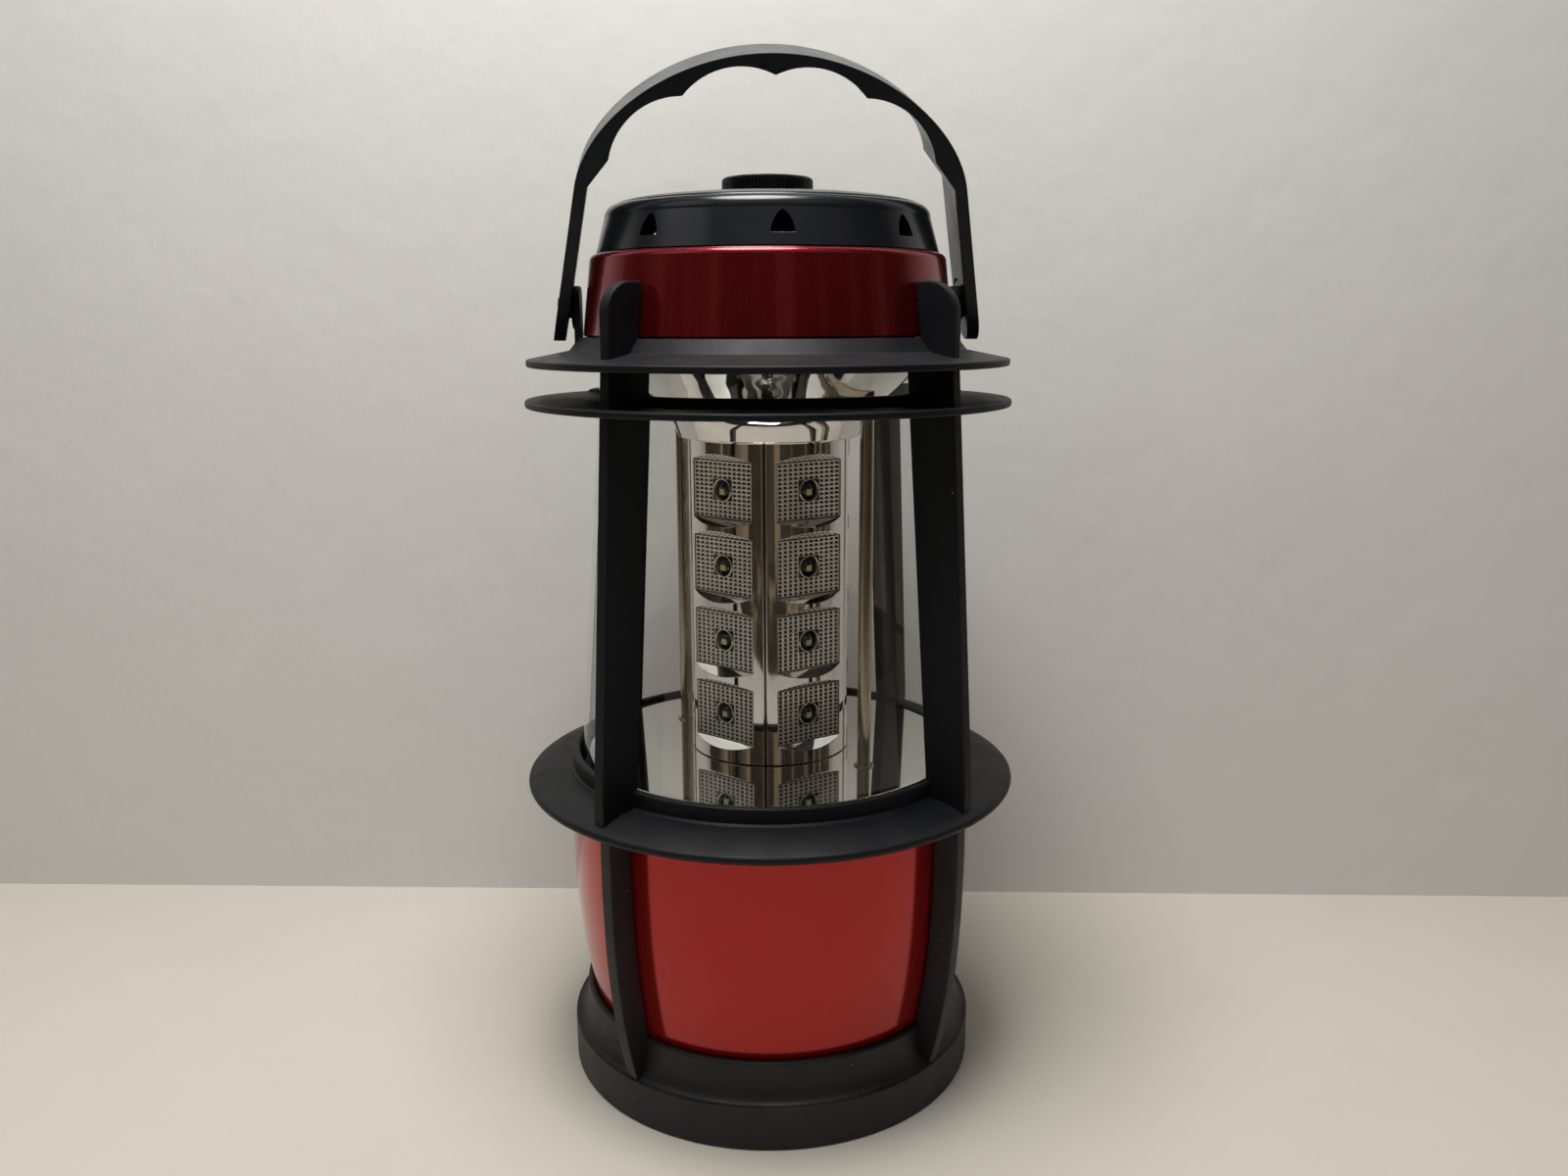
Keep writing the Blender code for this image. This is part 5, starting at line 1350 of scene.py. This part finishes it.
def strap_outside():
    """Right half of the outer line, from the tail up to the crown: a straight arm and a full shoulder."""
    tail = -BAIL_DEPTH / 2
    points = [(strap_half_width(height), height) for height in levels(tail, BAIL_SHOULDER)[:-1]]
    for angle in levels(0, math.pi / 2, 2 * CURVE_STEPS)[:-1]:
        height = BAIL_SHOULDER + (BAIL_RISE - BAIL_SHOULDER) * math.sin(angle)
        points.append((strap_half_width(height) * math.cos(angle), height))
    return points


def scallop_centre(number):
    """Centre of one finger scallop, counted from the crown to the right."""
    turn = math.pi / 2 - SCALLOP_SPAN * (number + 0.5)
    orbit = BAIL_RISE - SCALLOP_THIN - SCALLOP_RADIUS - SCALLOP_DROP * number
    return Vector((orbit * math.cos(turn), orbit * math.sin(turn)))


def cusp(first, second):
    """Upper point where the circles of two scallops meet."""
    across = (second - first) / 2
    upwards = Vector((-across.y, across.x)).normalized()
    return first + across + upwards * math.sqrt(SCALLOP_RADIUS**2 - across.length_squared)


def strap_inside():
    """Right half of the inner line, from the crown down to the tail: round finger scallops, then the arm."""
    centres = [scallop_centre(number) for number in range(SCALLOPS_PER_SIDE)]
    before = [Vector((-centres[0].x, centres[0].y))] + centres
    starts = [cusp(first, second) - second for first, second in zip(before, centres)]
    ends = [cusp(first, second) - first for first, second in zip(centres, centres[1:])]
    turns = [math.atan2(end.y, end.x) for end in ends] + [SCALLOP_END]
    points = []
    for centre, start, turn in zip(centres, starts, turns):
        points += arc(centre, (SCALLOP_RADIUS, SCALLOP_RADIUS), math.atan2(start.y, start.x), turn)
    for height in levels(BAIL_SHOULDER, -BAIL_DEPTH / 2):
        points.append((strap_half_width(height, BAIL_THICKNESS), height))
    return points


def tail_corners():
    """Cutter that rounds the tails of both arms, seen along X."""
    half = BAIL_DEPTH / 2
    past = half + BAIL_THICKNESS
    round_end = arc((0, 0), (half, half), math.pi, 2 * math.pi, 2 * CURVE_STEPS + 1)
    outline = [(-past, 0), *round_end, (past, 0), (past, -past), (-past, -past)]
    return moved(prism(outline, -arm_outer - past, arm_outer + past), about_z(math.pi / 2))


def pivot_room():
    """Cutter that leaves room for one ear with its boss and pin, along Z."""
    pin_room = PIVOT_PIN_RADIUS + SEAT_GAP
    boss_room = PIVOT_BOSS_RADIUS + SEAT_GAP
    ear_top = brim_collar_top + EAR_HEIGHT - pivot_level
    ear_room = math.hypot(EAR_WIDTH / 2 - EAR_CORNER, ear_top - EAR_CORNER) + EAR_CORNER + SLIDE_GAP
    ear_step = ear_outer + SLIDE_GAP
    boss_step = boss_face + SEAT_GAP
    past = arm_outer + EAR_THICKNESS
    outline = [
        (0, 0),
        (ear_room, 0),
        (ear_room, ear_step),
        (boss_room, ear_step),
        (boss_room, boss_step),
        (pin_room, boss_step),
        (pin_room, past),
        (0, past),
    ]
    return turned(outline, SMALL_FACETS)


def bail_handle(material):
    """Arched strap with finger scallops and round ends, leaning forward."""
    outside = strap_outside()
    inside = strap_inside()
    outline = outside + [(0, BAIL_RISE)] + mirrored(outside) + mirrored(inside[1:]) + inside
    bail = solid(plate(outline, BAIL_DEPTH), "bail_handle_fine")
    cut(bail, tail_corners())
    soften(bail, BAIL_EDGE)
    for turn in (0, math.pi):
        cut(bail, moved(pivot_room(), about_z(turn) @ LAID_ALONG_X))
    bail.data.transform(at(0, 0, pivot_level) @ Matrix.Rotation(BAIL_LEAN, 4, "X"))
    dress(bail, ["bail_handle"], "bail", "black_plastic", material)


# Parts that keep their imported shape


def dress_hidden_parts():
    rubber = mottled("seal_rubber", (0.018, 0.018, 0.018), (0.034, 0.034, 0.034), 0.002, (0.7, 0.85))
    white = mottled("white_plastic", (0.60, 0.60, 0.57), (0.70, 0.70, 0.67), 0.01, (0.4, 0.55))
    jacket = mottled("cell_jacket", (0.20, 0.20, 0.21), (0.28, 0.28, 0.29), 0.004, (0.3, 0.45))
    brass = mottled("contact_brass", (0.52, 0.38, 0.14), (0.66, 0.50, 0.21), 0.003, (0.2, 0.35), 1.0)
    steel = mottled("plated_steel", (0.46, 0.45, 0.43), (0.62, 0.61, 0.58), 0.002, (0.2, 0.35), 1.0)
    green = mottled("circuit_board", (0.020, 0.110, 0.045), (0.035, 0.170, 0.070), 0.003, (0.3, 0.45))
    black = mottled("deck_black", (0.010, 0.010, 0.011), (0.018, 0.018, 0.020), 0.004, (0.45, 0.6))
    wire = mottled("lead_jacket", (0.42, 0.03, 0.02), (0.55, 0.06, 0.04), 0.002, (0.4, 0.55))
    finishes = {
        "cover_gasket": rubber, "globe_seal": rubber, "battery_holder": white, "led_core": white,
        "dry_cell": jacket, "potentiometer": jacket, "cell_contact": brass, "cell_spring": steel,
        "foot_screw": steel, "board_screw": steel, "rod_nut": steel, "pot_shaft": steel,
        "contact_board": green, "dimmer_board": green, "base_deck": black, "lead_wire": wire,
    }
    for name, part in frame["nodes"].items():
        for start, material in finishes.items():
            if name.startswith(start):
                part.data.materials.clear()
                part.data.materials.append(material)


# Stage, lamps and camera


def staged(name, material, points, faces, matrix):
    """Bare sheet that belongs to the stage."""
    mesh = bpy.data.meshes.new(name)
    mesh.from_pydata(points, [], faces)
    mesh.transform(matrix)
    mesh.materials.append(material)
    sheet = placed(name, mesh)
    return sheet


def plain_sheet(name, material, width, height, matrix):
    """Flat sheet that faces up before it is placed."""
    x, y = width / 2, height / 2
    return staged(name, material, [(-x, -y, 0), (x, -y, 0), (x, y, 0), (-x, y, 0)], [(0, 1, 2, 3)], matrix)


def pale_paint(name, dark, light):
    """Matt paint in two close tones, slightly wavy."""
    made, tree, shader = surface(name, light, 0.7)
    tint(tree, shader, noise(tree, 0.05, 6.0), dark, light)
    bump(tree, shader, noise(tree, 0.016, 4.0), 0.0004)
    return made


def one_sided(material):
    """Let the wall or floor show only from its front, so that it never hides the lantern."""
    tree = material.node_tree
    clear = tree.nodes.new("ShaderNodeBsdfTransparent")
    paint = tree.nodes["Principled BSDF"]
    blended(tree, geometry(tree, "Backfacing"), paint.outputs[0], clear.outputs[0])
    return material


def dim_room():
    """Glow of the dim side of the room: dark with warm upright streaks, paler high up in front."""
    made, tree, shader = surface("dim_room", (0.02, 0.018, 0.015), 0.9, specular=0.0)
    upright = {"Vector": place(tree), "Scale": Vector((1.0, 1.0, ROOM_STREAK_SQUEEZE))}
    streaks = noise(tree, ROOM_STREAK, 3.0, shader_node(tree, "Mapping", upright).outputs[0])
    share = mapped(tree, streaks, ROOM_STREAK_LOW, ROOM_STREAK_HIGH)
    dim = mixed(tree, share, (0.020, 0.015, 0.010), (0.20, 0.145, 0.09))
    spot = shader_node(tree, "SeparateXYZ", {0: place(tree)}).outputs
    high = mapped(tree, spot["Z"], ROOM_GLOW_LOW, ROOM_GLOW_HIGH)
    ahead = mapped(tree, spot["Y"], -ROOM_GLOW_NEAR, -ROOM_GLOW_FAR)
    feed(tree, shader, "Emission Strength", 1.0)
    feed(tree, shader, "Emission Color", mixed(tree, times(tree, high, ahead), dim, (0.36, 0.37, 0.38)))
    return made


def room_cards():
    """Dim room round the front of the table. It shows only in plating and gloss."""
    glow = dim_room()
    points = []
    for x, y in arc((0, 0), (ROOM_DEPTH, ROOM_DEPTH), -math.pi / 2 - ROOM_WRAP, -math.pi / 2 + ROOM_WRAP):
        points += [(x, y, 0), (x, y, ROOM_HEIGHT)]
    faces = [(index, index + 1, index + 3, index + 2) for index in range(0, len(points) - 2, 2)]
    floor_place = at(0, -(TABLE_FRONT + ROOM_DEPTH) / 2, ROOM_FLOOR)
    cards = [
        staged("room_back", glow, points, faces, Matrix()),
        plain_sheet("room_floor", glow, 2 * ROOM_DEPTH, ROOM_DEPTH - TABLE_FRONT, floor_place),
    ]
    for card in cards:
        card.visible_camera = False
        card.visible_diffuse = False
        card.visible_shadow = False


def stage():
    floor_paint = one_sided(pale_paint("floor_paint", (0.60, 0.565, 0.50), (0.64, 0.605, 0.54)))
    plain_sheet("floor", floor_paint, STAGE_SIZE, STAGE_SIZE, Matrix())
    wall_paint = one_sided(pale_paint("wall_paint", (0.66, 0.65, 0.63), (0.70, 0.69, 0.67)))
    standing = about_z(WALL_TURN) @ at(0, WALL_DISTANCE, WALL_HEIGHT / 2) @ STOOD_UP
    plain_sheet("wall", wall_paint, STAGE_SIZE, WALL_HEIGHT, standing)
    room_cards()


def lamp(name, place_at, aim, size, watts, colour):
    made = bpy.data.lights.new(name, "AREA")
    made.shape = "DISK"
    made.size = size
    made.energy = watts
    made.color = colour
    holder = placed(name, made)
    holder.location = place_at
    holder.visible_camera = False
    holder.rotation_euler = (Vector(aim) - Vector(place_at)).to_track_quat("-Z", "Y").to_euler()


def lamps():
    lamp("ceiling", CEILING_PLACE, CEILING_AIM, CEILING_SIZE, CEILING_WATTS, CEILING_COLOUR)
    lamp("window", WINDOW_PLACE, WINDOW_AIM, WINDOW_SIZE, WINDOW_WATTS, WINDOW_COLOUR)
    world = bpy.data.worlds.new("soft_room")
    bpy.context.scene.world = world
    world.use_nodes = True
    sky = world.node_tree.nodes["Background"]
    sky.inputs["Color"].default_value = (*SKY_COLOUR, 1.0)
    sky.inputs["Strength"].default_value = SKY_STRENGTH


def camera():
    made = bpy.data.cameras.new("camera")
    made.sensor_fit = "HORIZONTAL"
    made.sensor_width = CAMERA_SENSOR
    made.lens = CAMERA_LENS
    holder = placed("camera", made)
    facing = Matrix.Rotation(-CAMERA_TURN, 4, "Z") @ Matrix.Rotation(math.pi / 2 - CAMERA_PITCH, 4, "X")
    holder.matrix_world = Matrix.Translation(CAMERA_PLACE) @ facing @ Matrix.Rotation(CAMERA_ROLL, 4, "Z")
    bpy.context.scene.camera = holder


def main():
    bpy.context.scene.view_settings.view_transform = "Standard"
    black = black_plastic()
    gloss = gloss_black()
    bright = chrome("tower_chrome", wave=0.02, depth=0.00004)
    lower_guard(grained_plastic())
    base_shell(red_gloss())
    battery_cover(black)
    upper_guard(black)
    globe(clear_globe())
    bottom_mirror(chrome("mirror_chrome", wave=0.05, depth=0.00002))
    top_reflector(chrome("bowl_chrome", wave=0.012, depth=0.00022))
    tube = nickel()
    for index in (1, 2):
        tie_rod(index, tube)
    board = mottled("strip_green", (0.02, 0.10, 0.04), (0.03, 0.15, 0.06), 0.003, (0.3, 0.45))
    light_tower(bright, pane_ridge_painted_glint(), pane_pit_painted_shade(), board, shaded_dome(), light_chip())
    top_housing(red_metallic())
    vent_cap(gloss)
    dimmer_knob(lit_knob_plastic())
    bail_handle(strap_plastic())
    dress_hidden_parts()
    stage()
    lamps()
    camera()


main()
